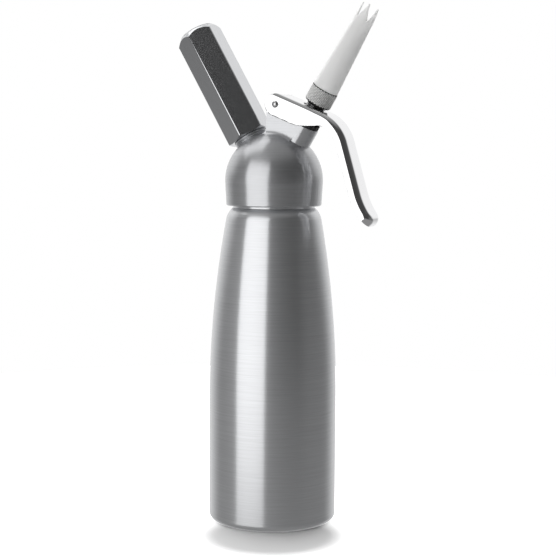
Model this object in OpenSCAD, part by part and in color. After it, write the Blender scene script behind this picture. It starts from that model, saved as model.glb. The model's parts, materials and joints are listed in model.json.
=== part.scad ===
// Whipped cream dispenser: a pressure bottle, a screw-on head with a sprung valve worked by a lever,
// a hexagonal holder with its gas charger, and a screw-on tulip nozzle. Millimetres, +Z up.
// The origin is the centre of the bottle's base. +X points towards the lever and the nozzle.
// Heights called *_l are measured along a leaning axis, from the point where the two axes cross.

/* [Bottle] */
// Outside diameter of the bottle
bottle_d = 80; // [76:0.5:84]
// Wall of the bottle
bottle_wall = 1.6; // [1.2:0.1:2.2]
// Thickness of the base
base_t = 2.5; // [2:0.1:4]
// Rounding between base and wall
base_round = 4; // [3:0.5:6]
// Height where the wall starts to lean in
shoulder_z = 75; // [65:1:85]
// Radius of the long curve of the wall
shoulder_sweep_r = 655; // [600:5:750]
// Radius of the turn between the long curve and the neck
shoulder_turn_r = 12; // [10:0.5:13]
// Rise of the long curve, up to the centre of that turn
sweep_rise = 112.8; // [110:0.1:113]

/* [Neck] */
// Outside radius of the neck and its thread
neck_r = 25.5; // [24.5:0.1:26]
// Wall of the neck, thread and all
neck_wall = 3.5; // [3:0.1:5]
// Rise of the neck's top edge over the centre of the shoulder's turn
neck_rise = 23.2; // [21:0.1:25]
// Length of the neck's thread
neck_thread_len = 10.5; // [9:0.5:11]
// Pitch of the neck's thread
neck_pitch = 3; // [2:0.5:3.5]
// Depth of the neck's thread
neck_thread_depth = 1.2; // [0.6:0.1:1.4]
// Clearance of a thread in its nut
thread_gap = 0.15; // [0.1:0.05:0.3]
// Thickness of the head seal
head_seal_t = 2; // [1.5:0.1:3]
// Gap left at each face of a seal
seal_gap = 0.1; // [0.05:0.05:0.2]

/* [Head] */
// Wall of the head round the neck's thread
rim_wall = 4.05; // [3.5:0.05:5]
// How far the lower rim stands in from the dome's widest line
rim_in = 0.8; // [0.3:0.1:1.5]
// Height of the dome's centre over the floor that presses the head seal
dome_lift = 0.8; // [0.5:0.1:1.5]
// Height of the dome's centre over the lower rim
skirt_h = 15.5; // [14:0.1:16]
// Chamfer of the rim
rim_chamfer = 0.6; // [0.3:0.1:1]
// Wall of the head round the cream space
dome_wall = 5.5; // [4.5:0.1:6]
// Lean of the charger axis
charger_lean = 30.5; // [29:0.1:32]
// Lean of the valve and nozzle axis
valve_lean = 31.1; // [29:0.1:32]
// How far under the dome's centre the two leaning axes cross
cross_drop = 0.7; // [0:0.1:2]
// Radius of the valve column
column_r = 8.8; // [8.6:0.05:9.3]
// Edge chamfer of the column and of other turned ends
edge_chamfer = 0.5; // [0.3:0.1:0.8]
// Radius of the cove where column and lug meet the dome
cove_r = 4.2; // [3:0.1:5]
// Left end of the lug that carries the lever pin
lug_left_x = -1.3; // [-2:0.1:-0.5]

/* [Charger side] */
// Outside radius of the charger nipple's thread
nipple_r = 11; // [10.6:0.1:11.3]
// Pitch of the nipple's thread
nipple_pitch = 1.5; // [1:0.25:2]
// Depth of the nipple's thread
nipple_thread_depth = 0.8; // [0.5:0.1:0.9]
// Metal left between the head's inside and the nipple's bore
nipple_floor_t = 3.25; // [2.5:0.05:4]
// Gas passage from the nipple to the cream space
gas_hole_r = 1.3; // [0.8:0.1:1.6]
// Length of the check valve's sleeve
sleeve_len = 3.8; // [3:0.1:5]
// Height of the piercing pin's body
pin_body_h = 4; // [3:0.1:5]
// Thickness of the charger gasket
gasket_t = 1.6; // [1.2:0.1:2]
// Diameter of the gas charger
charger_d = 18; // [17.6:0.1:18.2]
// Length of the gas charger
charger_len = 65.5; // [64:0.5:66]
// Radius of the charger's neck
charger_neck_r = 4.4; // [4:0.05:4.5]
// Length of the charger's neck
charger_neck_len = 7; // [6.9:0.1:7.5]
// Wall of the charger
charger_wall = 1.3; // [1:0.1:1.6]
// Radius of the piercing needle
needle_r = 0.9; // [0.6:0.05:1.1]
// How far the needle reaches into the charger
needle_reach = 2.5; // [1.5:0.1:3]
// Wall of the charger holder outside its thread, at a flat
holder_wall = 1.65; // [1.4:0.05:2.5]
// Gap between the dome and the holder's open end, along the axis
mouth_gap = 1.2; // [0.8:0.1:2]
// Thickness of the holder's closed end
holder_end_t = 4.4; // [3:0.1:6]
// Clearance of the charger in its holder
charger_gap = 0.4; // [0.3:0.05:0.6]

/* [Valve] */
// Bore of the cream passage, in which the stem's piston slides
valve_bore_r = 5.2; // [5:0.05:5.4]
// How far the valve seat hangs under the top of the head's inside
seat_drop = 9.3; // [8.5:0.1:10]
// Radius of the boss that carries the seat
seat_boss_r = 8.2; // [7.8:0.1:8.6]
// Radius of the spring chamber
chamber_r = 6.9; // [6.7:0.05:7.1]
// Running clearance of turned parts
running_gap = 0.05; // [0.03:0.01:0.08]
// Clearance between pieces that pass each other
free_gap = 0.3; // [0.3:0.05:0.5]
// Gap between each cheek of the lever and the column
cheek_gap = 0.7; // [0.4:0.05:1]
// Radius of the stem's neck
stem_neck_r = 4.3; // [4.1:0.05:4.4]
// Bore of the stem
stem_bore_r = 1.9; // [1.5:0.1:2]
// Length of the valve spring
spring_len = 5.4; // [5:0.1:6]
// Wire diameter of the valve spring
spring_wire_d = 0.9; // [0.7:0.05:1]
// Number of curls of the valve spring
spring_curls = 3; // [2:1:3]
// Radius of the thread that carries the nozzle
nozzle_thread_r = 6.2; // [6:0.05:6.3]
// Pitch of that thread
nozzle_pitch = 1.5; // [1:0.25:1.5]
// Depth of that thread
nozzle_thread_depth = 0.75; // [0.4:0.05:0.8]
// Radius of the stem head's flange, which the lever presses
flange_r = 8.4; // [8:0.1:8.8]
// Length of the spring screw's thread
screw_thread_len = 4; // [3:0.5:6]
// Radius of the spring screw's collar
screw_collar_r = 8.4; // [8:0.1:8.8]
// Height of the spring screw's collar
screw_collar_h = 2.7; // [2:0.1:3]

/* [Lever] */
// Lever pin, beyond the column's end along the valve axis
pin_over_column = 2.25; // [2:0.05:2.5]
// Lever pin, away from the valve axis
pin_off_axis = 19.79; // [19:0.01:20.5]
// Radius of the lever pin
pin_r = 1.6; // [1.4:0.1:1.8]
// Radius of the pin's domed heads
pin_head_r = 2.15; // [2.1:0.05:2.6]
// Sheet thickness of the lever
sheet_t = 1.5; // [1.2:0.1:1.6]
// Width of the lever's grip
grip_w = 19.1; // [17:0.1:21]
// Slope of the lever's top plate
plate_slope = 21.8; // [21:0.1:23]
// Height of the top plate over the pin
plate_over_pin = 6.7; // [6.5:0.1:7]
// Depth of the cheeks
cheek_depth = 13.7; // [13.2:0.1:14]
// Length of the flat top plate, from over the pin to the knee
plate_len = 29.2; // [27:0.1:31]
// Outer radius of the knee
knee_r = 27.5; // [25:0.5:32]
// Slope of the grip
grip_slope = 73.5; // [70:0.1:75]
// Straight length of the grip
grip_len = 32.4; // [28:0.1:34]
// Length of the cheek's straight lower edge
cheek_len = 13.5; // [12:0.1:15]
// Depth of the flanges in the middle of the knee
knee_depth = 4.1; // [3:0.1:5]
// Depth of the grip's flanges
grip_depth = 4.4; // [4:0.1:6]
// Outer radius of the foot at the end of the grip
foot_r = 40; // [30:0.5:50]
// Turn of the foot
foot_turn = 27; // [20:1:34]
// Depth of the foot's flanges at the tip
foot_depth = 4.2; // [3.5:0.1:5]

/* [Nozzle] */
// Radius of the knurled collar
collar_r = 8.6; // [8.4:0.1:9]
// Height of the collar over the stem head's flange
collar_lift = 5.4; // [5:0.1:6.5]
// How far the stem head's thread goes up in the collar
collar_thread_len = 6.2; // [5:0.1:7]
// Thickness of the nozzle seal
nozzle_seal_t = 1.4; // [1:0.1:2]
// Length of the nozzle's spigot in the collar
spigot_len = 3.15; // [2.5:0.05:4]
// Radius of the nozzle at the collar
nozzle_base_r = 8.2; // [8:0.05:8.6]
// Radius of the nozzle at its tips
nozzle_tip_r = 5.6; // [5.2:0.1:6]
// Length of the nozzle over the collar
nozzle_len = 56.45; // [54:0.05:58]
// Wall of the nozzle
nozzle_wall = 1.5; // [1.2:0.1:1.8]
// Number of teeth
teeth = 5; // [4:1:8]
// Depth of the notches between the teeth
tooth_len = 9; // [7:0.5:10]
// Width of a tooth at its tip
tooth_tip_w = 1; // [0.8:0.1:2]
// Turn of the first tooth about the nozzle's axis
tooth_turn = -88; // [-180:1:180]

/* [Hidden] */
$fn = 96;
eps = 0.01;
far = 400;

bottle_r = bottle_d / 2;
shoulder_turn_z = shoulder_z + sweep_rise;
shoulder_turn_x = bottle_r - shoulder_sweep_r + sqrt(pow(shoulder_sweep_r - shoulder_turn_r, 2) - pow(sweep_rise, 2));
neck_bore_r = neck_r - neck_wall;
neck_top_z = shoulder_turn_z + neck_rise;
neck_edge = 1;
neck_thread_z = neck_top_z - neck_edge - neck_thread_len;

head_thread_r = neck_r + thread_gap;
head_floor_z = neck_top_z + head_seal_t + 2 * seal_gap;
dome_r = head_thread_r + rim_wall + rim_in;
dome_z = head_floor_z + dome_lift;
rim_r = dome_r - rim_in;
rim_z = dome_z - skirt_h;
cavity_r = dome_r - dome_wall;
skirt_r = norm([rim_r, skirt_h - rim_chamfer]);
skirt_touch_a = acos(dome_r / skirt_r) - atan2(skirt_h - rim_chamfer, rim_r);
cross_z = dome_z - cross_drop;
cross_rise = cross_drop * cos(valve_lean);
cavity_top_l = cavity_r + cross_rise;

// Charger side, along its axis
charger_r = charger_d / 2;
charger_round_a = 40;
nipple_bore_r = charger_neck_r + charger_gap;
nipple_floor_l = cavity_top_l + nipple_floor_t;
sleeve_wall = 1.5;
pin_stub_r = 1.9;
pin_body_l = nipple_floor_l + sleeve_len + 2 * seal_gap;
gasket_low_l = pin_body_l + pin_body_h;
charger_tip_l = gasket_low_l + gasket_t + seal_gap;
needle_tip_l = charger_tip_l + needle_reach;
charger_end_l = charger_tip_l + charger_len;
nipple_top_l = charger_tip_l + charger_neck_len - 2 * seal_gap;
holder_thread_r = nipple_r + thread_gap;
holder_bore_r = charger_r + charger_gap;
holder_step_l = nipple_top_l + 4 * free_gap;
holder_af = 2 * (holder_thread_r + holder_wall);
holder_corner_r = holder_af / sqrt(3);
holder_mouth_l = dome_r + cross_rise + mouth_gap;
holder_end_l = charger_end_l + charger_gap + holder_end_t;

// Valve side, along its axis
disc_t = 2.8;
disc_r = 6.6;
washer_t = 1;
nut_t = 2.4;
stud_r = 2.4;
stud_end = 1.2;
seat_l = cavity_top_l - seat_drop;
stud_low_l = seat_l - seal_gap - disc_t - washer_t - nut_t - stud_end;
waist_len = 7;
piston_ring_h = 1.1;
groove_h = 2;
groove_depth = 1.3;
piston_low_l = seat_l + waist_len;
groove_l = piston_low_l + piston_ring_h;
groove_r = valve_bore_r - groove_depth;
o_ring_wire_r = groove_depth / 2 - 0.03;
piston_top_l = groove_l + groove_h + piston_ring_h;
chamber_floor_l = piston_top_l + free_gap;
bush_t = 2;
spring_low_l = chamber_floor_l + bush_t + seal_gap;
spring_seat_t = 1.2;
spring_seat_l = spring_low_l + spring_len + seal_gap;
stem_shoulder_r = stem_neck_r + 0.4;
screw_gap = 0.8;
screw_low_l = spring_seat_l + spring_seat_t + screw_gap;
screw_bore_r = stem_shoulder_r + free_gap;
column_end_l = screw_low_l + screw_thread_len;
pin_l = column_end_l + pin_over_column;
plate_tilt = valve_lean - plate_slope;
plate_under = plate_over_pin - sheet_t;
// Height at which the tilted plate rests on the near edge of the flange
flange_top_l = pin_l + (pin_off_axis - flange_r) * tan(plate_tilt) + plate_under / cos(plate_tilt) - 0.1;
flange_t = 1.5;
flange_low_l = flange_top_l - flange_t;
stem_stud_r = 3.4;
stem_stud_len = 7;
collar_low_l = flange_top_l + collar_lift;
stem_head_top_l = collar_low_l + collar_thread_len;
stem_hole_gap = 0.9;
spigot_low_l = stem_head_top_l + nozzle_seal_t + 2 * seal_gap;
spigot_r = 7.2;
nozzle_low_l = spigot_low_l + spigot_len;
collar_top_l = nozzle_low_l - seal_gap / 2;
nozzle_tip_l = nozzle_low_l + nozzle_len;

// Lever, in the plane of the two axes
pin_hole_y = 2;
lug_w = 2 * column_r;
lever_w = lug_w + 2 * (cheek_gap + sheet_t);
lug_eye_gap = 0.4;
lug_eye_r = plate_under - lug_eye_gap;
cheek_end_r = cheek_depth / 2;
taper_start_s = 28.7;
taper_len = 27.8;

function polar(r, a) = [r * cos(a), r * sin(a)];
function arc(c, r, a0, a1, n = 12) = [for (i = [0:n]) c + polar(r, a0 + (a1 - a0) * i / n)];
// Direction that runs down to the right at the given slope, and the normal above it
function down(a) = [cos(a), -sin(a)];
function over(a) = [sin(a), cos(a)];

pin_at = [0, cross_z] + pin_l * over(valve_lean) - pin_off_axis * down(valve_lean);
plate_at = pin_at + plate_over_pin * over(plate_slope);
knee_at = plate_at + plate_len * down(plate_slope);
knee_c = knee_at - knee_r * over(plate_slope);
grip_at = knee_c + knee_r * over(grip_slope);
foot_at = grip_at + grip_len * down(grip_slope);
foot_c = foot_at + foot_r * over(grip_slope);
cheek_c = plate_at - cheek_end_r * over(plate_slope);
tip_slope = grip_slope - foot_turn;

// Distances along the top plate's outer face
knee_len = knee_r * (grip_slope - plate_slope) * PI / 180;
foot_len = foot_r * foot_turn * PI / 180;
knee_mid_s = plate_len + knee_len / 2;
grip_s = plate_len + knee_len;
foot_s = grip_s + grip_len;
tip_s = foot_s + foot_len;

// Slope of that face, and its place, at the distance s
function slope_at(s) = s < plate_len ? plate_slope
    : s < grip_s ? plate_slope + (s - plate_len) / knee_r * 180 / PI
    : s < foot_s ? grip_slope : grip_slope - (s - foot_s) / foot_r * 180 / PI;
function face_at(s) = s < plate_len ? plate_at + s * down(plate_slope)
    : s < grip_s ? knee_c + knee_r * over(slope_at(s))
    : s < foot_s ? grip_at + (s - grip_s) * down(grip_slope) : foot_c - foot_r * over(slope_at(s));
function ease(t) = let (u = min(max(t, 0), 1)) u * u * (3 - 2 * u);
function eased(s, s0, s1, v0, v1) = v0 + (v1 - v0) * ease((s - s0) / (s1 - s0));
// Depth of the cheek and of the flanges, under that face
function flange_depth(s) = s < knee_mid_s ? eased(s, cheek_len, knee_mid_s, cheek_depth, knee_depth)
    : s < grip_s ? eased(s, knee_mid_s, grip_s, knee_depth, grip_depth)
    : eased(s, foot_s, tip_s, grip_depth, foot_depth);

module on_valve_axis() {
    translate([0, 0, cross_z]) rotate([0, valve_lean, 0]) children();
}

module on_charger_axis() {
    translate([0, 0, cross_z]) rotate([0, -charger_lean, 0]) children();
}

// A flat outline in the X-Z plane, made thick along Y and centred on it
module across(w) {
    rotate([90, 0, 0]) linear_extrude(w, center = true) children();
}

module tube(r_out, r_in, low, high) {
    rotate_extrude() translate([r_in, low]) square([r_out - r_in, high - low]);
}

// A shaft with pointed rings in place of the thread's helix
module ring_thread(r, depth, pitch, low, high) {
    n = floor((high - low) / pitch);
    step = (high - low) / n;
    points = [for (i = [0:n - 1]) each [[r - depth, low + i * step], [r, low + (i + 0.5) * step]]];
    rotate_extrude() polygon(concat([[0, low]], points, [[r - depth, high], [0, high]]));
}

// A solid turned end with its edge broken
module turned(r, low, high, chamfer) {
    rotate_extrude()
        polygon([[0, low], [r, low], [r, high - chamfer], [r - chamfer, high], [0, high]]);
}

// Half outline of the bottle below the neck, moved in by the wall. Its two arcs meet on one tangent.
module bottle_half(inset, floor_z) {
    corner_r = base_round - inset / 2;
    side_r = bottle_r - inset;
    join_z = shoulder_turn_z
        + (shoulder_turn_r - inset) * (shoulder_turn_z - shoulder_z) / (shoulder_sweep_r - shoulder_turn_r);
    intersection() {
        translate([0, shoulder_z]) square([bottle_r, join_z - shoulder_z]);
        translate([bottle_r - shoulder_sweep_r, shoulder_z]) circle(shoulder_sweep_r - inset, $fn = 360);
    }
    intersection() {
        translate([shoulder_turn_x - eps, join_z - eps]) square(shoulder_turn_r);
        translate([shoulder_turn_x, shoulder_turn_z]) circle(shoulder_turn_r - inset);
    }
    translate([0, join_z - eps])
        square([shoulder_turn_x, shoulder_turn_z + shoulder_turn_r - inset - join_z + eps]);
    translate([0, floor_z]) square([side_r - corner_r, shoulder_z + eps - floor_z]);
    translate([0, floor_z + corner_r]) square([side_r, shoulder_z + eps - floor_z - corner_r]);
    translate([side_r - corner_r, floor_z + corner_r]) circle(corner_r);
}

module bottle() {
    color("silver") difference() {
        union() {
            rotate_extrude() bottle_half(0, 0);
            translate([0, 0, shoulder_turn_z])
                cylinder(r = neck_r - neck_thread_depth, h = neck_top_z - shoulder_turn_z);
            cylinder(r = neck_r, h = neck_thread_z);
            ring_thread(neck_r, neck_thread_depth, neck_pitch, neck_thread_z, neck_thread_z + neck_thread_len);
        }
        rotate_extrude() bottle_half(bottle_wall, base_t);
        translate([0, 0, shoulder_turn_z]) cylinder(r = neck_bore_r, h = far);
    }
}

module head_seal() {
    color("dimgray") tube(neck_r, neck_bore_r, neck_top_z + seal_gap, neck_top_z + seal_gap + head_seal_t);
}

// The dome and its skirt, in half outline. The skirt meets the dome on a tangent.
module dome_half() {
    touch = [0, dome_z] + polar(dome_r, skirt_touch_a);
    polygon([
        [0, rim_z], [rim_r - rim_chamfer, rim_z], [rim_r, rim_z + rim_chamfer], touch, [0, touch[1]]
    ]);
    intersection() {
        translate([0, dome_z]) circle(dome_r);
        translate([0, touch[1] - eps]) square(2 * dome_r);
    }
}

module lug_outline() {
    // Points inside the eye's circle, from which the lug's two edges start
    eye_in = 0.9 * lug_eye_r;
    eye_top = pin_at + eye_in * over(valve_lean);
    crossing = [0, cross_z];
    polygon([
        [lug_left_x, dome_z], [lug_left_x, pin_at[1] - lug_eye_r], pin_at - [eye_in, 0], pin_at, eye_top,
        crossing + column_end_l * over(valve_lean) - (column_r - edge_chamfer) * down(valve_lean),
        crossing + (column_end_l - edge_chamfer) * over(valve_lean), crossing + dome_r / 2 * over(valve_lean)
    ]);
    translate(pin_at) circle(lug_eye_r);
}

// A cove of radius cove_r between the dome and a wall that stands wall_at from the turning axis
module cove_half(wall_at) {
    reach = wall_at + cove_r;
    rise = sqrt(pow(dome_r + cove_r, 2) - reach * reach);
    touch = [reach, rise] * dome_r / (dome_r + cove_r);
    difference() {
        polygon([[0, rise - 3 * cove_r], touch - [0, 2 * cove_r], touch, [wall_at, rise], [0, rise]]);
        translate([reach, rise]) circle(cove_r);
    }
}

// Coves along the two sides of the lug and at its left end, as far as the column
module lug_coves() {
    intersection() {
        translate([0, 0, dome_z]) for (side = [-1, 1]) {
            rotate([90 * side, 0, 0]) rotate_extrude() mirror([1, -1]) cove_half(lug_w / 2);
        }
        translate([lug_left_x, -far / 2, dome_z]) cube(far);
        on_valve_axis() translate([-far, -far / 2, 0]) cube(far);
    }
    intersection() {
        translate([0, 0, dome_z]) rotate([0, -90, 0]) rotate_extrude() mirror([1, -1]) cove_half(-lug_left_x);
        translate([lug_left_x - 2 * cove_r, -lug_w / 2, dome_z]) cube([3 * cove_r, lug_w, far]);
    }
}

module head_casting() {
    color("lightgray") difference() {
        union() {
            difference() {
                union() {
                    rotate_extrude() dome_half();
                    across(lug_w) lug_outline();
                    on_valve_axis() turned(column_r, cavity_r, column_end_l, edge_chamfer);
                    on_valve_axis() translate([0, 0, cross_rise])
                        rotate_extrude() cove_half(column_r);
                    lug_coves();
                    on_charger_axis() ring_thread(
                        nipple_r, nipple_thread_depth, nipple_pitch, cavity_r, nipple_top_l
                    );
                }
                intersection() {
                    translate([0, 0, dome_z]) sphere(cavity_r);
                    cylinder(r = neck_bore_r, h = far);
                }
            }
            on_valve_axis() translate([0, 0, seat_l]) cylinder(r = seat_boss_r, h = chamber_floor_l - seat_l);
        }
        translate([0, 0, rim_z - eps]) cylinder(r = head_thread_r, h = head_floor_z - rim_z + eps);
        on_valve_axis() {
            translate([0, 0, seat_l - eps]) cylinder(r = valve_bore_r, h = far);
            translate([0, 0, chamber_floor_l]) cylinder(r = chamber_r, h = far);
        }
        on_charger_axis() {
            translate([0, 0, nipple_floor_l]) cylinder(r = nipple_bore_r, h = far);
            translate([0, 0, dome_r / 2]) cylinder(r = gas_hole_r, h = dome_r / 2);
        }
        across(far) translate(pin_at) circle(pin_r + running_gap);
    }
}

module check_valve_sleeve() {
    color("dimgray") on_charger_axis() tube(
        pin_stub_r + sleeve_wall, pin_stub_r + running_gap, nipple_floor_l + seal_gap, pin_body_l - seal_gap
    );
}

module piercing_pin() {
    cone_h = 2 * needle_r;
    vent_r = 0.45;
    color("gainsboro") on_charger_axis() difference() {
        rotate_extrude() polygon([
            [0, nipple_floor_l + free_gap], [pin_stub_r, nipple_floor_l + free_gap], [pin_stub_r, pin_body_l],
            [nipple_bore_r - running_gap, pin_body_l], [nipple_bore_r - running_gap, gasket_low_l - seal_gap],
            [needle_r, gasket_low_l - seal_gap], [needle_r, needle_tip_l - cone_h], [0, needle_tip_l]
        ]);
        translate([0, 0, nipple_floor_l]) cylinder(r = pin_stub_r / 2, h = pin_body_l - nipple_floor_l + 2);
        translate([needle_r + vent_r / 2, 0, pin_body_l + 1]) cylinder(r = vent_r, h = pin_body_h);
    }
}

module charger_gasket() {
    gas_way = 1.2;
    color("dimgray") on_charger_axis()
        tube(nipple_bore_r - running_gap, needle_r + gas_way, gasket_low_l, gasket_low_l + gasket_t);
}

// Half outline of the charger, moved in by its wall
module charger_half(inset) {
    neck_r_in = charger_neck_r - inset;
    body_r = charger_r - inset;
    low = charger_tip_l + inset;
    neck_l = charger_tip_l + charger_neck_len;
    end_l = charger_end_l - inset;
    polygon(concat(
        [[0, low], [neck_r_in, low], [neck_r_in, neck_l + inset / 2]],
        arc([0, neck_l + charger_r], body_r, -charger_round_a, 0, 8),
        arc([0, end_l - body_r * 0.8], body_r, 0, charger_round_a, 4),
        [[body_r * 0.35, end_l], [0, end_l]]
    ));
}

module gas_charger() {
    color("silver") on_charger_axis() difference() {
        rotate_extrude() charger_half(0);
        rotate_extrude() charger_half(charger_wall);
        translate([0, 0, charger_tip_l - eps]) cylinder(r = needle_r + free_gap, h = charger_neck_len);
    }
}

module charger_holder() {
    // The end is turned to a shallow cone that leaves an arch at the top of each flat
    cone_l = holder_end_l - 0.6;
    arch_h = 4.2;
    color("darkgray") on_charger_axis() difference() {
        intersection() {
            rotate([0, 0, 30]) translate([0, 0, holder_mouth_l])
                cylinder(r = holder_corner_r, h = holder_end_l - holder_mouth_l, $fn = 6);
            rotate_extrude() polygon([
                [0, holder_mouth_l], [holder_af / 2, holder_mouth_l],
                [holder_corner_r + eps, holder_mouth_l + edge_chamfer * 2],
                [holder_corner_r + eps, cone_l - arch_h], [holder_af / 2 - 1.5, cone_l], [0, holder_end_l]
            ]);
        }
        translate([0, 0, holder_mouth_l - eps]) cylinder(r = holder_thread_r, h = holder_step_l - holder_mouth_l);
        translate([0, 0, holder_mouth_l]) cylinder(r = holder_bore_r, h = charger_end_l + charger_gap - holder_mouth_l);
    }
}

module valve_stem() {
    waist_r = groove_r - 0.6;
    cross_hole_r = 1.5;
    cross_hole_l = seat_l + 3.2;
    color("gainsboro") on_valve_axis() difference() {
        union() {
            translate([0, 0, stud_low_l]) cylinder(r = stud_r, h = seat_l - stud_low_l);
            translate([0, 0, seat_l - seal_gap]) cylinder(r = waist_r, h = piston_low_l - seat_l + 1);
            translate([0, 0, piston_low_l])
                cylinder(r = valve_bore_r - running_gap, h = groove_l - piston_low_l);
            translate([0, 0, piston_low_l]) cylinder(r = groove_r, h = piston_top_l - piston_low_l);
            translate([0, 0, groove_l + groove_h])
                cylinder(r = valve_bore_r - running_gap, h = piston_ring_h);
            translate([0, 0, piston_top_l - eps])
                cylinder(r = stem_neck_r, h = flange_low_l - seal_gap - piston_top_l + eps);
            translate([0, 0, spring_seat_l + spring_seat_t + seal_gap / 2]) cylinder(
                r = stem_shoulder_r, h = flange_low_l - spring_seat_l - spring_seat_t - 1.5 * seal_gap
            );
            translate([0, 0, flange_low_l - 1]) cylinder(r = stem_stud_r, h = stem_stud_len + 1);
        }
        translate([0, 0, seat_l + 1]) cylinder(r = stem_bore_r, h = far);
        translate([0, 0, cross_hole_l])
            rotate([90, 0, 0]) cylinder(r = cross_hole_r, h = 2 * groove_r, center = true);
    }
}

module valve_disc() {
    color("dimgray") on_valve_axis()
        tube(disc_r, stud_r + running_gap, seat_l - seal_gap - disc_t, seat_l - seal_gap);
}

module disc_washer() {
    high = seat_l - seal_gap - disc_t;
    color("gainsboro") on_valve_axis() tube(disc_r - 0.6, stud_r + running_gap, high - washer_t, high);
}

module disc_nut() {
    corner_r = 4.6;
    high = seat_l - seal_gap - disc_t - washer_t;
    color("gainsboro") on_valve_axis() difference() {
        translate([0, 0, high - nut_t]) cylinder(r = corner_r, h = nut_t, $fn = 6);
        translate([0, 0, high - nut_t - eps]) cylinder(r = stud_r + running_gap, h = nut_t + 2 * eps);
    }
}

module stem_o_ring() {
    color("dimgray") on_valve_axis() rotate_extrude()
        translate([(groove_r + valve_bore_r) / 2, groove_l + groove_h / 2]) circle(o_ring_wire_r);
}

module stem_bush() {
    color("white") on_valve_axis()
        tube(chamber_r - running_gap, stem_neck_r + running_gap, chamber_floor_l, chamber_floor_l + bush_t);
}

// Points of one ring of the spring's wire, square to the helix
function coil_ring(r, rise, wire_r, t, sides) = [
    for (k = [0:sides - 1])
        let (a = 360 * t, b = 360 * k / sides, reach = r + wire_r * cos(b))
            [reach * cos(a), reach * sin(a), rise * t + wire_r * sin(b)]
];

// Faces of a closed tube of rings, each face a triangle
function tube_faces(rings, sides) = concat(
    [for (k = [1:sides - 2]) [0, k, k + 1]],
    [for (i = [0:rings - 2]) for (k = [0:sides - 1])
        each let (a = i * sides + k, b = i * sides + (k + 1) % sides)
            [[a, a + sides, b], [b, a + sides, b + sides]]],
    [for (k = [1:sides - 2]) (rings - 1) * sides * [1, 1, 1] + [0, k + 1, k]]
);

spring_sides = 6;
rings_per_curl = 8;
spring_rings = spring_curls * rings_per_curl + 1;
spring_r = (stem_neck_r + chamber_r) / 2;
spring_rise = spring_seat_l - seal_gap - spring_low_l - spring_wire_d;
spring_pitch = spring_rise / spring_curls;
spring_points = [
    for (i = [0:spring_rings - 1])
        each coil_ring(spring_r, spring_pitch, spring_wire_d / 2, i / rings_per_curl, spring_sides)
];
// Least distance from any point of one curl to the curl above it
spring_self_gap = min([
    for (i = [0:rings_per_curl]) for (k = [0:spring_sides - 1]) for (m = [0:spring_sides - 1])
        norm(spring_points[i * spring_sides + k] - spring_points[(i + rings_per_curl) * spring_sides + m])
]);
echo(spring_self_gap = spring_self_gap);  // valve_spring

module valve_spring() {
    color("gray") on_valve_axis() translate([0, 0, spring_low_l + spring_wire_d / 2])
        polyhedron(points = spring_points, faces = tube_faces(spring_rings, spring_sides));
}

module spring_seat() {
    color("gainsboro") on_valve_axis() tube(
        chamber_r - 2 * free_gap, stem_neck_r + running_gap, spring_seat_l, spring_seat_l + spring_seat_t
    );
}

module spring_screw() {
    grips = 20;
    grip_hollow_r = 0.9;
    grip_low = 0.6;
    screw_depth = 0.5;
    screw_pitch = 1;
    color("dimgray") on_valve_axis() difference() {
        union() {
            ring_thread(chamber_r - running_gap, screw_depth, screw_pitch, screw_low_l, column_end_l);
            translate([0, 0, column_end_l]) cylinder(r = screw_collar_r, h = screw_collar_h);
        }
        translate([0, 0, screw_low_l - eps]) cylinder(r = screw_bore_r, h = far);
        for (i = [0:grips - 1]) {
            rotate(360 * i / grips) translate([screw_collar_r + grip_hollow_r / 2, 0, column_end_l + grip_low])
                cylinder(r = grip_hollow_r, h = screw_collar_h, $fn = 24);
        }
    }
}

module stem_head() {
    color("gainsboro") on_valve_axis() difference() {
        union() {
            translate([0, 0, flange_low_l]) cylinder(r = flange_r, h = flange_t);
            ring_thread(nozzle_thread_r, nozzle_thread_depth, nozzle_pitch, flange_top_l, stem_head_top_l);
        }
        translate([0, 0, flange_low_l - eps]) cylinder(r = stem_stud_r + running_gap, h = stem_stud_len + 0.2);
        translate([0, 0, flange_low_l]) cylinder(r = stem_bore_r + 0.4, h = far);
    }
}

// Outer line of the lever from its round end to its tip, moved in by the given depth
function lever_line(inset) = concat(
    arc(cheek_c, cheek_end_r - inset, 180 - plate_slope, 90 - plate_slope, 6),
    arc(knee_c, knee_r - inset, 90 - plate_slope, 90 - grip_slope, 16),
    arc(foot_c, foot_r + inset, 270 - grip_slope, 270 - tip_slope, 10)
);

module lever_outline() {
    steps = 34;
    polygon(concat(
        lever_line(0),
        [for (i = [steps:-1:0])
            let (s = cheek_len + (tip_s - cheek_len) * i / steps) face_at(s) - flange_depth(s) * over(slope_at(s))],
        arc(cheek_c, cheek_end_r, 270 - plate_slope, 180 - plate_slope, 6)
    ));
}

// Plan of the lever, moved in by its sheet
module lever_plan(inset) {
    w0 = lever_w / 2 - inset;
    w1 = grip_w / 2 - inset;
    x0 = face_at(taper_start_s)[0];
    x1 = face_at(taper_start_s + taper_len)[0];
    polygon([
        [x0 - far, -w0], [x0, -w0], [x1, -w1], [x1 + far, -w1],
        [x1 + far, w1], [x1, w1], [x0, w0], [x0 - far, w0]
    ]);
}

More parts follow.
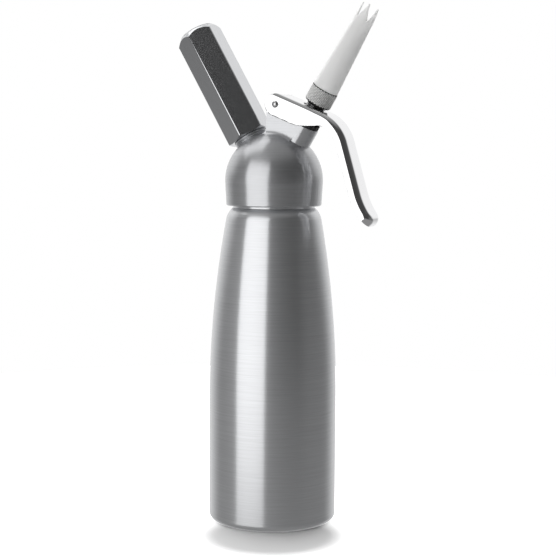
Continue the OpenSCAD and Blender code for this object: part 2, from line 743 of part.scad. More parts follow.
module lever() {
    hole_s = pin_off_axis / cos(plate_tilt) + plate_over_pin * tan(plate_tilt) / 2;
    color("gainsboro") difference() {
        intersection() {
            across(far) lever_outline();
            linear_extrude(2 * cross_z) lever_plan(0);
        }
        intersection() {
            across(far) polygon(concat(
                [cheek_c - far / 4 * down(plate_slope) - [0, far / 4]],
                [plate_at - sheet_t * over(plate_slope) - far / 4 * down(plate_slope)],
                arc(knee_c, knee_r - sheet_t, 90 - plate_slope, 90 - grip_slope, 16),
                arc(foot_c, foot_r + sheet_t, 270 - grip_slope, 270 - tip_slope - 5, 10),
                [foot_at - [far / 4, far / 4]]
            ));
            linear_extrude(2 * cross_z) lever_plan(sheet_t);
        }
        across(far) translate(pin_at) circle(pin_r + running_gap);
        translate([plate_at[0], 0, plate_at[1]]) rotate([0, plate_slope, 0])
            translate([hole_s, 0, -3 * sheet_t]) cylinder(r = nozzle_thread_r + stem_hole_gap, h = 5 * sheet_t);
    }
}

// Domed head that stands on a cheek of the lever
module pin_head(side) {
    dome = 1.1;
    cap_r = (pin_head_r * pin_head_r + dome * dome) / (2 * dome);
    translate([pin_at[0], side * (lever_w / 2 + running_gap), pin_at[1]]) rotate([-90 * side, 0, 0])
        intersection() {
            translate([0, 0, dome - cap_r]) sphere(cap_r);
            cylinder(r = pin_head_r, h = 2 * dome);
        }
}

module lever_pin() {
    color("silver") difference() {
        union() {
            translate([pin_at[0], -lever_w / 2 - 2 * running_gap, pin_at[1]]) rotate([-90, 0, 0])
                cylinder(r = pin_r, h = lever_w + 2 * running_gap);
            pin_head(-1);
        }
        translate([pin_at[0], pin_hole_y, pin_at[1]]) rotate([-90, 0, 0])
            cylinder(r = pin_r / 2 + running_gap, h = lever_w);
    }
}

module lever_pin_screw() {
    color("silver") union() {
        pin_head(1);
        translate([pin_at[0], pin_hole_y + 1, pin_at[1]]) rotate([-90, 0, 0])
            cylinder(r = pin_r / 2, h = lever_w / 2 - pin_hole_y - 1 + 2 * running_gap);
    }
}

module nozzle_seal() {
    color("dimgray") on_valve_axis() tube(
        nozzle_thread_r - 0.2, stem_bore_r + 0.7, stem_head_top_l + seal_gap,
        stem_head_top_l + seal_gap + nozzle_seal_t
    );
}

module nozzle_collar() {
    color("silver") on_valve_axis() difference() {
        rotate_extrude() polygon([
            [0, collar_low_l], [collar_r - edge_chamfer, collar_low_l], [collar_r, collar_low_l + edge_chamfer],
            [collar_r, collar_top_l - edge_chamfer], [collar_r - edge_chamfer, collar_top_l], [0, collar_top_l]
        ]);
        translate([0, 0, collar_low_l - eps]) cylinder(r = nozzle_thread_r + thread_gap, h = far);
        translate([0, 0, spigot_low_l - seal_gap]) cylinder(r = spigot_r + running_gap, h = far);
    }
}

module tulip_nozzle() {
    slot_w = 2 * nozzle_tip_r * sin(180 / teeth) - tooth_tip_w;
    slot_low_w = 0.8;
    slot_h = tooth_len + 2;
    slot_top_w = slot_low_w + (slot_w - slot_low_w) * slot_h / tooth_len;
    color("whitesmoke") on_valve_axis() difference() {
        union() {
            translate([0, 0, nozzle_low_l]) cylinder(r1 = nozzle_base_r, r2 = nozzle_tip_r, h = nozzle_len);
            translate([0, 0, spigot_low_l]) cylinder(r = spigot_r, h = nozzle_low_l - spigot_low_l);
        }
        translate([0, 0, nozzle_low_l]) cylinder(
            r1 = nozzle_base_r - nozzle_wall, r2 = nozzle_tip_r - nozzle_wall / 2, h = nozzle_len + eps
        );
        translate([0, 0, spigot_low_l - eps]) cylinder(r = spigot_r - nozzle_wall, h = spigot_len + 2 * eps);
        for (i = [0:teeth - 1]) {
            rotate(360 * (i + 0.5) / teeth + tooth_turn) translate([0, 0, nozzle_tip_l - tooth_len])
                rotate([90, 0, 90]) linear_extrude(2 * nozzle_base_r) polygon([
                    [-slot_low_w / 2, 0], [slot_low_w / 2, 0], [slot_top_w / 2, slot_h], [-slot_top_w / 2, slot_h]
                ]);
        }
    }
}

bottle();
head_seal();
head_casting();
check_valve_sleeve();
piercing_pin();
charger_gasket();
gas_charger();
charger_holder();
valve_stem();
valve_disc();
disc_washer();
disc_nut();
stem_o_ring();
stem_bush();
valve_spring();
spring_seat();
spring_screw();
stem_head();
lever();
lever_pin();
lever_pin_screw();
nozzle_seal();
nozzle_collar();
tulip_nozzle();
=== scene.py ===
# %% [markdown]
# # A whipped cream dispenser, dressed around its CAD model
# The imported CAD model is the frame: every piece below is placed by it, in metres, with +Z up, the origin
# at the centre of the bottle's base and +X towards the lever. Blender gives the finish of each surface, and
# new meshes where a turned, bent or knurled piece needs more than the CAD solid shows.

# %% Load the frame
import json
import math

import bmesh
import bpy
from mathutils import Matrix, Vector


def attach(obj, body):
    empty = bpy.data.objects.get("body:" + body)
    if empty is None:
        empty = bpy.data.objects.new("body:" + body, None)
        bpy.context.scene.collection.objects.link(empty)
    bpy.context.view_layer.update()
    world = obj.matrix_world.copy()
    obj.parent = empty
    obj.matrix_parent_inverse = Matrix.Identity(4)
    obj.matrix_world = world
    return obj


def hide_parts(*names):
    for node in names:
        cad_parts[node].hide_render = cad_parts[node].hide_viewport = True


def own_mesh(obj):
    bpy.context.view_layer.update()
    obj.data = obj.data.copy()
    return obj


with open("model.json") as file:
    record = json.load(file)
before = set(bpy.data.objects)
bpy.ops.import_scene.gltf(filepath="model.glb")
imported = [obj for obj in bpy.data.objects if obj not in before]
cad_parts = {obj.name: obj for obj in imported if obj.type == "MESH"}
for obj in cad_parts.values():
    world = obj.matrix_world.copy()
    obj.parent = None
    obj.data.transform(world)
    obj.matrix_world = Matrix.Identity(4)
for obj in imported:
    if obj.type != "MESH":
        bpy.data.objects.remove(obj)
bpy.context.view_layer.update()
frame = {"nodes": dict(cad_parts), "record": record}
nodes = frame["nodes"]

# %% [markdown]
# ## Sizes shared by the pieces
# Sizes are written in millimetres, as a drawing gives them, and multiplied by MM where a mesh is made. The
# charger and the nozzle lean away from each other about one crossing point, so a turned piece is made
# upright and then placed by the matrix of its axis. The two distances for joining vertices are in metres.

# %% Units and axes
MM = 0.001
MERGE_DISTANCE = 1e-6
WELD_DISTANCE = 2e-6
VALVE_LEAN = 31.1
CHARGER_LEAN = 30.5
CROSS_Z = 213.3


def leaning(degrees):
    """The matrix that stands a piece's own Z axis on an axis leaning towards +X by this angle."""
    return Matrix.Translation((0, 0, CROSS_Z * MM)) @ Matrix.Rotation(math.radians(degrees), 4, "Y")


VALVE_AXIS = leaning(VALVE_LEAN)
CHARGER_AXIS = leaning(-CHARGER_LEAN)
UPRIGHT = Matrix.Identity(4)

# %% [markdown]
# ## The camera
# The photograph was taken with a long lens from a little above the dispenser, with the lever turned towards
# the camera by about 26 degrees. The values are those of a pinhole camera fitted to the outline of an 80 mm
# bottle. Distances are in millimetres and angles in degrees.

# %% Camera
PHOTO_SIDE_PX = 556
FOCAL_PX = 1381.07
CAMERA_DISTANCE = 863.86
CAMERA_HEIGHT = 237.58
CAMERA_AZIMUTH = 25.645
CAMERA_PITCH = 5.6
CAMERA_PAN = -0.19
CAMERA_ROLL = 0.385
SENSOR_MM = 36.0

azimuth = math.radians(CAMERA_AZIMUTH)
camera_data = bpy.data.cameras.new("camera")
camera_data.sensor_width = SENSOR_MM
camera_data.lens = FOCAL_PX / PHOTO_SIDE_PX * SENSOR_MM
camera = bpy.data.objects.new("camera", camera_data)
bpy.context.scene.collection.objects.link(camera)
camera.matrix_world = (
    Matrix.Translation((
        CAMERA_DISTANCE * math.sin(azimuth) * MM,
        -CAMERA_DISTANCE * math.cos(azimuth) * MM,
        CAMERA_HEIGHT * MM,
    ))
    @ Matrix.Rotation(azimuth + math.radians(CAMERA_PAN), 4, "Z")
    @ Matrix.Rotation(math.radians(90 - CAMERA_PITCH), 4, "X")
    @ Matrix.Rotation(math.radians(CAMERA_ROLL), 4, "Z")
)
bpy.context.scene.camera = camera
bpy.context.scene.view_settings.view_transform = "Standard"
print("lens", round(camera_data.lens, 1), "mm")

# %% [markdown]
# ## One function for nodes
# Shader trees and geometry trees are both sets of nodes, so one small function adds a node, sets it up and
# links its inputs. An input that is given a socket is linked, and any other value is written on it.

# %% Node function


def add(tree, kind, inputs=None, **settings):
    node = tree.nodes.new(kind)
    for key, value in settings.items():
        setattr(node, key, value)
    for key, value in (inputs or {}).items():
        if isinstance(value, bpy.types.NodeSocket):
            tree.links.new(value, node.inputs[key])
        else:
            node.inputs[key].default_value = value
    return node


def colour(hex_text):
    """An sRGB hex colour as Blender's linear RGBA."""
    channels = [int(hex_text[i:i + 2], 16) / 255 for i in (1, 3, 5)]
    linear = [c / 12.92 if c <= 0.04045 else ((c + 0.055) / 1.055) ** 2.4 for c in channels]
    return (*linear, 1.0)


def tinted(tree, grain, hex_text, change):
    """A colour that the grain makes darker and lighter, by up to this share of itself."""
    dark, light = [(*(c * k for c in colour(hex_text)[:3]), 1.0) for k in (1 - change, 1 + change)]
    return add(tree, "ShaderNodeMix", {"Factor": grain, 6: dark, 7: light}, data_type="RGBA").outputs[2]


# %% [markdown]
# ## The studio
# Polished metal looks like the room around it, so the studio decides the picture more than the metal does.
# Behind the dispenser is a white backdrop, in front is a dim room, and one broad softbox stands left of the
# camera: it gives the bright band on the bottle and fills the lever's flat cheek. The backdrop is part of the
# world, so that metal seen from any side still mirrors it. It is wider higher up, which lights the lever's plate
# and the holder's far face and leaves the sides of the bottle dark. The camera itself sees plain white all
# round, and only the surfaces see the room.
#
# Each tone below is a brightness. Each span says where one tone passes into the next, as the cosine of the
# angle from the direction that it belongs to.

# %% World
WHITE = (1.0, 1.0, 1.0, 1.0)
BACKDROP = 1.0
ROOM_LEFT = 0.17
ROOM_RIGHT = 0.055
ROOM_FAR_RIGHT = 0.16
ROOM_HIGH = 0.065
ROOM_HIGH_SHARE = 0.8
CEILING = 0.32
TABLE = 0.28
LEFT_TO_RIGHT_SPAN = (-0.9, 0.0)
FAR_RIGHT_SPAN = (0.7, 0.98)
HIGH_SPAN = (0.05, 0.4)
CEILING_SPAN = (0.6, 0.95)
TABLE_SPAN = (-0.35, -0.02)
BACKDROP_WIDENS = (-0.05, 0.2)
BACKDROP_LOW_SPAN = (0.3, 1.0)
BACKDROP_HIGH_SPAN = (0.05, 0.74)

world = bpy.data.worlds.new("studio")
bpy.context.scene.world = world
world.use_nodes = True
tree = world.node_tree
tree.nodes.clear()
direction = add(tree, "ShaderNodeTexCoord").outputs["Generated"]


def towards(vector):
    """How far the world's direction points along a vector, from -1 to 1."""
    inputs = {0: direction, 1: vector}
    return add(world.node_tree, "ShaderNodeVectorMath", inputs, operation="DOT_PRODUCT").outputs["Value"]


def ramp(tree, value, low, high, at_low=0.0, at_high=1.0):
    """A smooth step: at_low while the value is under low, and at_high once it is over high."""
    inputs = {0: value, 1: low, 2: high, 3: at_low, 4: at_high}
    return add(tree, "ShaderNodeMapRange", inputs, interpolation_type="SMOOTHSTEP").outputs["Result"]


def mix_values(tree, share, a, b):
    return add(tree, "ShaderNodeMix", {0: share, 2: a, 3: b}, data_type="FLOAT").outputs[0]


away = (-math.sin(azimuth), math.cos(azimuth), 0)
right = (math.cos(azimuth), math.sin(azimuth), 0)
upwards = towards((0, 0, 1))
room = ramp(tree, towards(right), *LEFT_TO_RIGHT_SPAN, ROOM_LEFT, ROOM_RIGHT)
room = mix_values(tree, ramp(tree, towards(right), *FAR_RIGHT_SPAN), room, ROOM_FAR_RIGHT)
room = mix_values(tree, ramp(tree, upwards, *HIGH_SPAN, 0.0, ROOM_HIGH_SHARE), room, ROOM_HIGH)
room = mix_values(tree, ramp(tree, upwards, *CEILING_SPAN), room, CEILING)
room = mix_values(tree, ramp(tree, upwards, *TABLE_SPAN, 1.0, 0.0), room, TABLE)
backdrop_edge, backdrop_full = [
    ramp(tree, upwards, *BACKDROP_WIDENS, low, high) for low, high in zip(BACKDROP_LOW_SPAN, BACKDROP_HIGH_SPAN)
]
studio = mix_values(tree, ramp(tree, towards(away), backdrop_edge, backdrop_full), room, BACKDROP)
is_camera = add(tree, "ShaderNodeLightPath").outputs["Is Camera Ray"]
background = add(tree, "ShaderNodeBackground", {
    "Color": WHITE, "Strength": mix_values(tree, is_camera, studio, BACKDROP),
})
add(tree, "ShaderNodeOutputWorld", {"Surface": background.outputs[0]})

# %% [markdown]
# ## Lamps
# A softbox's brightness is its power over pi times its area, so the power is worked out from the brightness
# that its reflection should have. Lamps are hidden from the camera, which may look from any side. The rim
# softbox stands high on the left. The overhead softbox only has to whiten the floor and the plastic, so it is
# hidden from mirrors too.

# %% Lamps


def softbox(name, width, height, distance, from_camera, elevation, brightness, aim_z, mirrored=True):
    """A flat lamp, turned from the camera's azimuth by from_camera degrees, aimed at a point on the axis."""
    data = bpy.data.lights.new(name, "AREA")
    data.shape = "RECTANGLE"
    data.size, data.size_y = width, height
    data.energy = brightness * math.pi * width * height
    lamp = bpy.data.objects.new(name, data)
    bpy.context.scene.collection.objects.link(lamp)
    lamp.visible_camera = False
    lamp.visible_glossy = mirrored
    turn = azimuth + math.radians(from_camera)
    rise = math.radians(elevation)
    back = Vector((math.sin(turn) * math.cos(rise), -math.cos(turn) * math.cos(rise), math.sin(rise)))
    lamp.location = back * distance + Vector((0, 0, aim_z))
    lamp.rotation_euler = back.to_track_quat("Z", "Y").to_euler()
    return lamp


softbox("key_softbox", width=1.15, height=1.5, distance=1.1, from_camera=-41, elevation=8,
        brightness=1.45, aim_z=0.18)
softbox("rim_softbox", width=0.8, height=0.8, distance=1.2, from_camera=-118, elevation=58,
        brightness=1.1, aim_z=0.2)
softbox("overhead_softbox", width=0.7, height=0.7, distance=1.3, from_camera=180, elevation=76,
        brightness=7.0, aim_z=0.1, mirrored=False)

# %% [markdown]
# ## The floor
# The floor is a pale diffuse sheet. To the camera it also glows, from nothing just in front of the base up to
# white a few centimetres further out, so that it meets the background without an edge. This painted glow lays
# out the shadow's reach: the lamps' soft shadow shows only where the glow is off. Mirrors don't see it: on the
# photograph the bands on the bottle run down to its foot, as they do over a table that ends close in front of it.
# The world's lower part stands in for the rest of the table there. From below the sheet is clear, so that the base
# can be looked at.

# %% Floor
FLOOR_RADIUS = 0.6
FLOOR_SEGMENTS = 64
# The painted shadow: the centre and the radii of the glow's ramp, which is off in front of the base.
PAINTED_SHADOW_CENTRE = (0.0189, -0.0396, 0.0)
PAINTED_SHADOW_REACH = (0.032, 0.055)


def new_material(name):
    material = bpy.data.materials.new(name)
    material.use_nodes = True
    material.node_tree.nodes.clear()
    return material, material.node_tree


floor_paper, tree = new_material("pale_paper_floor")
is_camera = add(tree, "ShaderNodeLightPath").outputs["Is Camera Ray"]
paper = add(tree, "ShaderNodeBsdfDiffuse", {"Color": colour("#EDEDED")})
from_centre = add(tree, "ShaderNodeVectorMath", {
    0: add(tree, "ShaderNodeTexCoord").outputs["Object"], 1: PAINTED_SHADOW_CENTRE,
}, operation="DISTANCE").outputs["Value"]
# The glow's share: none near the centre, so the shadow's reach there is painted.
painted_glow_ramp = ramp(tree, from_centre, *PAINTED_SHADOW_REACH)
camera_painted_glow = add(tree, "ShaderNodeMath", {0: is_camera, 1: painted_glow_ramp}, operation="MULTIPLY").outputs[0]
glow = add(tree, "ShaderNodeEmission", {"Color": WHITE, "Strength": camera_painted_glow})
both = add(tree, "ShaderNodeAddShader", {0: paper.outputs[0], 1: glow.outputs[0]})
from_below = add(tree, "ShaderNodeNewGeometry").outputs["Backfacing"]
clear = add(tree, "ShaderNodeBsdfTransparent")
one_sided = add(tree, "ShaderNodeMixShader", {0: from_below, 1: both.outputs[0], 2: clear.outputs[0]})
add(tree, "ShaderNodeOutputMaterial", {"Surface": one_sided.outputs[0]})

floor_mesh = bpy.data.meshes.new("floor")
shape = bmesh.new()
bmesh.ops.create_circle(shape, cap_ends=True, radius=FLOOR_RADIUS, segments=FLOOR_SEGMENTS)
shape.to_mesh(floor_mesh)
shape.free()
floor = bpy.data.objects.new("floor", floor_mesh)
bpy.context.scene.collection.objects.link(floor)
floor_mesh.materials.append(floor_paper)
floor.visible_glossy = False

# %% [markdown]
# ## Metals
# All the metals share one recipe. A metal's colour is its mirror colour, and its finish is in the roughness
# and in very fine relief. Brushing is lines far longer along the brushing than across it. A noise texture whose
# coordinates are stretched by the two lengths gives such lines, and it drives the relief, the roughness and a
# little of the colour. Relief much finer than a pixel gives stray glints, so the bottle's and the head's lines
# are in the colour and the roughness alone. Part of their light is scattered more widely, by a second and
# rougher shader. The floors of fine grooves hold polish and get little light, and that shade is painted in: the
# colour is darkened by the distance from the piece's axis.

# %% Metal recipe
# How dark the painted shade in a groove's floor is, as a share of the colour.
GROOVE_PAINTED_SHADE = 0.06
HAZE_ROUGHNESS = 0.6
GRAIN_LOW, GRAIN_HIGH = 0.3, 0.7
ACROSS_TANGENT = 0.25


def metal(name, hex_text, roughness, line_mm=(1.0, 1.0, 1.0), relief=0.0, tone=0.0, rough_change=0.0,
          anisotropic=0.0, brushing_axis=None, place=UPRIGHT, painted_groove_shade_mm=None, haze=0.0, metallic=1.0):
    """line_mm is the length of a brushed line along the piece's own x, y and z. brushing_axis is the axis that
    the lines run round, for a turned piece. The groove radii give a groove's floor, where the painted shade is
    darkest, and the height where the painted shade ends. haze is the share of light that the scratches scatter
    widely. metallic is under 1 only for the knurl, set for the pale look that its many small faces have together."""
    material, tree = new_material(name)
    spot = add(tree, "ShaderNodeTexCoord").outputs["Object"]
    turn = place.inverted().to_euler()
    own = add(tree, "ShaderNodeMapping", {
        "Vector": spot, "Location": place.inverted().to_translation(), "Rotation": turn,
    }).outputs["Vector"]
    scale = [1 / (length * MM) for length in line_mm]
    lines = add(tree, "ShaderNodeVectorMath", {0: own, 1: scale}, operation="MULTIPLY").outputs["Vector"]
    grain = add(tree, "ShaderNodeTexNoise", {"Vector": lines, "Scale": 1.0, "Detail": 4.0, "Roughness": 0.65})
    grain = grain.outputs["Fac"]
    tint = tinted(tree, grain, hex_text, tone)
    # Painted shade: the colour darkens towards a groove's floor, by the distance from the axis.
    if painted_groove_shade_mm:
        flat = add(tree, "ShaderNodeVectorMath", {0: own, 1: (1, 1, 0)}, operation="MULTIPLY").outputs["Vector"]
        radius = add(tree, "ShaderNodeVectorMath", {0: flat}, operation="LENGTH").outputs["Value"]
        lit = add(tree, "ShaderNodeMapRange", {
            "Value": radius, "From Min": painted_groove_shade_mm[0] * MM, "From Max": painted_groove_shade_mm[1] * MM, "To Min": GROOVE_PAINTED_SHADE,
        }).outputs[0]
        tint = add(tree, "ShaderNodeVectorMath", {0: tint, "Scale": lit}, operation="SCALE").outputs["Vector"]
    rough = add(tree, "ShaderNodeMapRange", {
        "Value": grain, "From Min": GRAIN_LOW, "From Max": GRAIN_HIGH,
        "To Min": roughness - rough_change, "To Max": roughness + rough_change,
    })
    shader = add(tree, "ShaderNodeBsdfPrincipled", {
        "Base Color": tint, "Metallic": metallic, "Roughness": rough.outputs[0],
        "Anisotropic": anisotropic, "Anisotropic Rotation": ACROSS_TANGENT,
    })
    if relief:
        bump = add(tree, "ShaderNodeBump", {"Height": grain, "Strength": 1.0, "Distance": relief * MM})
        tree.links.new(bump.outputs[0], shader.inputs["Normal"])
    if brushing_axis is not None:
        round_it = add(tree, "ShaderNodeVectorMath", {0: brushing_axis, 1: own}, operation="CROSS_PRODUCT")
        turned = add(tree, "ShaderNodeMapping", {
            "Vector": round_it.outputs[0], "Rotation": place.to_euler(),
        }, vector_type="VECTOR")
        unit = add(tree, "ShaderNodeVectorMath", {0: turned.outputs[0]}, operation="NORMALIZE")
        tree.links.new(unit.outputs[0], shader.inputs["Tangent"])
    surface = shader.outputs[0]
    if haze:
        wide = add(tree, "ShaderNodeBsdfPrincipled", {
            "Base Color": tint, "Metallic": 1.0, "Roughness": HAZE_ROUGHNESS,
        }).outputs[0]
        surface = add(tree, "ShaderNodeMixShader", {0: haze, 1: surface, 2: wide}).outputs[0]
    add(tree, "ShaderNodeOutputMaterial", {"Surface": surface})
    return material


Z_AXIS = (0, 0, 1)

# %% [markdown]
# The bottle and the head are spun aluminium, brushed round their axis with a fine abrasive. The lines are a
# tenth of a millimetre wide on the real one. They are drawn five times as wide here, to show at the
# photograph's scale. The head's copy of the finish is painted darker, as shade that takes down the bright
# backdrop mirrored in its upturned dome. The charger holder is hexagonal bar, brushed along its length, and the
# lever is stainless sheet, polished to a mirror.

# %% Metal finishes
SPUN = {
    "line_mm": (30, 30, 0.5), "tone": 0.16, "rough_change": 0.02, "anisotropic": 0.75, "brushing_axis": Z_AXIS,
    "haze": 0.4,
}
brushed_aluminium = metal("brushed_aluminium", "#DEDFE1", 0.25, **SPUN)
# The head's copy of the bottle's finish is painted darker, as shade on its upturned dome.
head_aluminium_painted_darker = metal("brushed_aluminium_painted_darker_for_head", "#CACBCD", 0.25, **SPUN)
milled_aluminium = metal(
    "brushed_hexagon_aluminium", "#D0D1D3", 0.15, (0.35, 0.35, 5), relief=0.001, tone=0.12,
    rough_change=0.03, place=CHARGER_AXIS,
)
polished_steel = metal("polished_stainless_sheet", "#EDEDEE", 0.06, (6, 6, 6), relief=0.001, rough_change=0.02)
turned_steel = metal(
    "turned_stainless", "#C9C9CA", 0.2, (20, 20, 0.12), relief=0.004, tone=0.05, rough_change=0.05,
    anisotropic=0.5, brushing_axis=Z_AXIS, place=VALVE_AXIS,
)
# The knurl's groove floors are painted dark as shade.
knurled_steel = metal(
    "knurled_nickel_plate", "#FFFFFE", 0.4, (0.5, 0.5, 0.5), rough_change=0.04, place=VALVE_AXIS,
    painted_groove_shade_mm=(8.4, 8.46), haze=0.5, metallic=0.35,
)
# The thread's groove floors are painted dark as shade.
threaded_steel = metal(
    "turned_thread_stainless", "#C9C9CA", 0.2, (20, 20, 0.12), place=VALVE_AXIS, painted_groove_shade_mm=(5.5, 6.1),
)
spring_wire = metal("drawn_spring_wire", "#9B9C9E", 0.25, (0.3, 0.3, 0.3), tone=0.05, rough_change=0.05)
charger_steel = metal("plated_charger_steel", "#BFC0C2", 0.22, (8, 8, 0.4), tone=0.04, rough_change=0.05)

# %% [markdown]
# ## Plastics and rubber
# The nozzle is moulded polypropylene with a fine frosted face: light goes a few millimetres into it, which
# softens its shading, and its face is too rough for a clear highlight. The seals are moulded rubber.

# %% Plastic finishes


def plastic(name, hex_text, roughness, grain_mm, relief, tone=0.02, subsurface=0.0):
    material, tree = new_material(name)
    spot = add(tree, "ShaderNodeTexCoord").outputs["Object"]
    grain = add(tree, "ShaderNodeTexNoise", {
        "Vector": spot, "Scale": 1 / (grain_mm * MM), "Detail": 3.0, "Roughness": 0.6,
    }).outputs["Fac"]
    bump = add(tree, "ShaderNodeBump", {"Height": grain, "Strength": 1.0, "Distance": relief * MM})
    shader = add(tree, "ShaderNodeBsdfPrincipled", {
        "Base Color": tinted(tree, grain, hex_text, tone), "Roughness": roughness, "Normal": bump.outputs[0],
        "Subsurface Weight": subsurface, "Subsurface Radius": (1.0, 1.0, 1.0), "Subsurface Scale": 3 * MM,
    })
    add(tree, "ShaderNodeOutputMaterial", {"Surface": shader.outputs[0]})
    return material


frosted_plastic = plastic("frosted_polypropylene", "#F4F4F3", 0.42, 0.4, 0.01, subsurface=0.6)
white_plastic = plastic("white_acetal", "#E6E5E1", 0.35, 0.5, 0.005)
black_plastic = plastic("black_nylon", "#161617", 0.4, 0.5, 0.01, tone=0.15)
seal_rubber = plastic("moulded_seal_rubber", "#232324", 0.6, 0.3, 0.01, tone=0.15)

# %% [markdown]
# Each CAD node takes the finish of its slot, and the head takes the aluminium copy painted darker as shade. A
# node's mesh stays as it is, and only its material changes.

# %% Dress the CAD nodes
FINISH = {
    "brushed_aluminium": brushed_aluminium,
    "milled_aluminium": milled_aluminium,
    "polished_steel": polished_steel,
    "turned_steel": turned_steel,
    "knurled_steel": knurled_steel,
    "spring_wire": spring_wire,
    "charger_steel": charger_steel,
    "seal_rubber": seal_rubber,
    "white_plastic": white_plastic,
    "black_plastic": black_plastic,
    "frosted_plastic": frosted_plastic,
}
slot_of = {part["node"]: part["material_slot"] for part in frame["record"]["subparts"]}
for name, node in nodes.items():
    node.data.materials.clear()
    node.data.materials.append(FINISH[slot_of[name]])
# The head gets the aluminium painted darker as shade.
nodes["head_casting"].data.materials[0] = head_aluminium_painted_darker
print(len(nodes), "CAD nodes dressed")

# %% [markdown]
# ## The lathe
# A turned piece is one outline swept round an axis. The tree below takes the outline as a chain of points,
# lays out a grid with one row for each point, and moves each grid vertex to its outline point, turned by
# its share of a full circle. Merging by distance closes the seam and the poles.

# %% Lathe tree


def new_tree(name, **sockets):
    """A geometry tree with named inputs. Returns the tree and its input node."""
    tree = bpy.data.node_groups.new(name, "GeometryNodeTree")
    tree.interface.new_socket("Geometry", in_out="INPUT", socket_type="NodeSocketGeometry")
    for label, kind in sockets.items():
        tree.interface.new_socket(label, in_out="INPUT", socket_type="NodeSocket" + kind)
    tree.interface.new_socket("Geometry", in_out="OUTPUT", socket_type="NodeSocketGeometry")
    return tree, tree.nodes.new("NodeGroupInput").outputs


def end_tree(tree, geometry, material):
    real = add(tree, "GeometryNodeRealizeInstances", {"Geometry": geometry})
    painted = add(tree, "GeometryNodeSetMaterial", {"Geometry": real.outputs[0], "Material": material})
    add(tree, "NodeGroupOutput", {"Geometry": painted.outputs[0]})


def calc(tree, operation, a, b=0.0):
    return add(tree, "ShaderNodeMath", {0: a, 1: b}, operation=operation).outputs[0]


def polar(tree, radius, angle, z):
    """The point at a radius and an angle round Z."""
    return add(tree, "ShaderNodeCombineXYZ", {
        0: calc(tree, "MULTIPLY", radius, calc(tree, "COSINE", angle)),
        1: calc(tree, "MULTIPLY", radius, calc(tree, "SINE", angle)),
        2: z,
    }).outputs[0]


def grid_place(tree, rows):
    """The column and the row of each vertex of a grid that has this many rows. The half keeps the division
    clear of the whole numbers, where rounding could give the column before."""
    index = add(tree, "GeometryNodeInputIndex").outputs[0]
    column = calc(tree, "FLOOR", calc(tree, "DIVIDE", calc(tree, "ADD", index, 0.5), rows))
    return column, calc(tree, "SUBTRACT", index, calc(tree, "MULTIPLY", column, rows))


lathe_tree, given = new_tree("turned_outline", Segments="Int", Material="Material")
count = add(lathe_tree, "GeometryNodeAttributeDomainSize", {"Geometry": given["Geometry"]}).outputs["Point Count"]
around = calc(lathe_tree, "ADD", given["Segments"], 1.0)
grid = add(lathe_tree, "GeometryNodeMeshGrid", {"Vertices X": around, "Vertices Y": count}).outputs["Mesh"]
step, row = grid_place(lathe_tree, count)
point = add(lathe_tree, "GeometryNodeSampleIndex", {
    "Geometry": given["Geometry"], "Value": add(lathe_tree, "GeometryNodeInputPosition").outputs[0], "Index": row,
}, data_type="FLOAT_VECTOR").outputs[0]
split = add(lathe_tree, "ShaderNodeSeparateXYZ", {0: point}).outputs
angle = calc(lathe_tree, "MULTIPLY", calc(lathe_tree, "DIVIDE", step, given["Segments"]), math.tau)
swept = add(lathe_tree, "GeometryNodeSetPosition", {
    "Geometry": grid, "Position": polar(lathe_tree, split[0], angle, split[2]),
}).outputs[0]
closed = add(lathe_tree, "GeometryNodeMergeByDistance", {"Geometry": swept, "Distance": MERGE_DISTANCE})
end_tree(lathe_tree, closed.outputs[0], given["Material"])

# %% [markdown]
# A tree is run on a throw-away object, and its result is copied to a plain mesh. The mesh is then placed,
# shaded smooth and creased where two faces meet at more than an edge's angle. Bevels and Booleans are run in
# the same way.

# %% Run a tree
SHARP_ANGLE = math.radians(32)


def finish_mesh(mesh, place=UPRIGHT):
    mesh.transform(place)
    mesh.shade_smooth()
    mesh.set_sharp_from_angle(angle=SHARP_ANGLE)
    return mesh


def new_piece(name, mesh):
    piece = bpy.data.objects.new(name, mesh)
    bpy.context.scene.collection.objects.link(piece)
    return piece


def evaluated_mesh(piece):
    """The mesh of a piece with its modifiers done. The throw-away piece is removed."""
    bpy.context.view_layer.update()
    graph = bpy.context.evaluated_depsgraph_get()
    mesh = bpy.data.meshes.new_from_object(piece.evaluated_get(graph), depsgraph=graph)
    bpy.data.objects.remove(piece)
    return mesh


def bevelled(piece, width_mm, segments, degrees=None):
    """Rounds the edges that are sharper than an angle or, without one, those that carry a weight."""
    bevel = piece.modifiers.new("rounded_edges", "BEVEL")
    bevel.width = width_mm * MM
    bevel.segments = segments
    bevel.limit_method = "ANGLE" if degrees else "WEIGHT"
    if degrees:
        bevel.angle_limit = math.radians(degrees)
    return bevel


def grow(tree, source=None, **inputs):
    """Runs a tree on a source mesh with these inputs, and returns the mesh that it makes."""
    piece = new_piece("growing", source or bpy.data.meshes.new("seed"))
    modifier = piece.modifiers.new("tree", "NODES")
    modifier.node_group = tree
    for socket in tree.interface.items_tree:
        if socket.in_out == "INPUT" and socket.name in inputs:
            modifier[socket.identifier] = inputs[socket.name]
    mesh = evaluated_mesh(piece)
    mesh.polygons.foreach_set("material_index", [0] * len(mesh.polygons))
    mesh.materials.clear()
    mesh.materials.append(inputs["Material"])
    return mesh


def turned(outline_mm, finish, segments):
    """A mesh turned from an outline of (radius, height) points that goes up the outside."""
    source = bpy.data.meshes.new("outline")
    points = [(r * MM, 0, z * MM) for r, z in outline_mm]
    source.from_pydata(points, [(i, i + 1) for i in range(len(points) - 1)], [])
    return grow(lathe_tree, source, Segments=segments, Material=finish)


def arc(centre, radius, start, end, steps):
    """Points of an arc in the (radius, height) plane, with angles in degrees from the outward direction."""
    angles = [math.radians(start + (end - start) * i / steps) for i in range(steps + 1)]
    return [(centre[0] + radius * math.cos(a), centre[1] + radius * math.sin(a)) for a in angles]


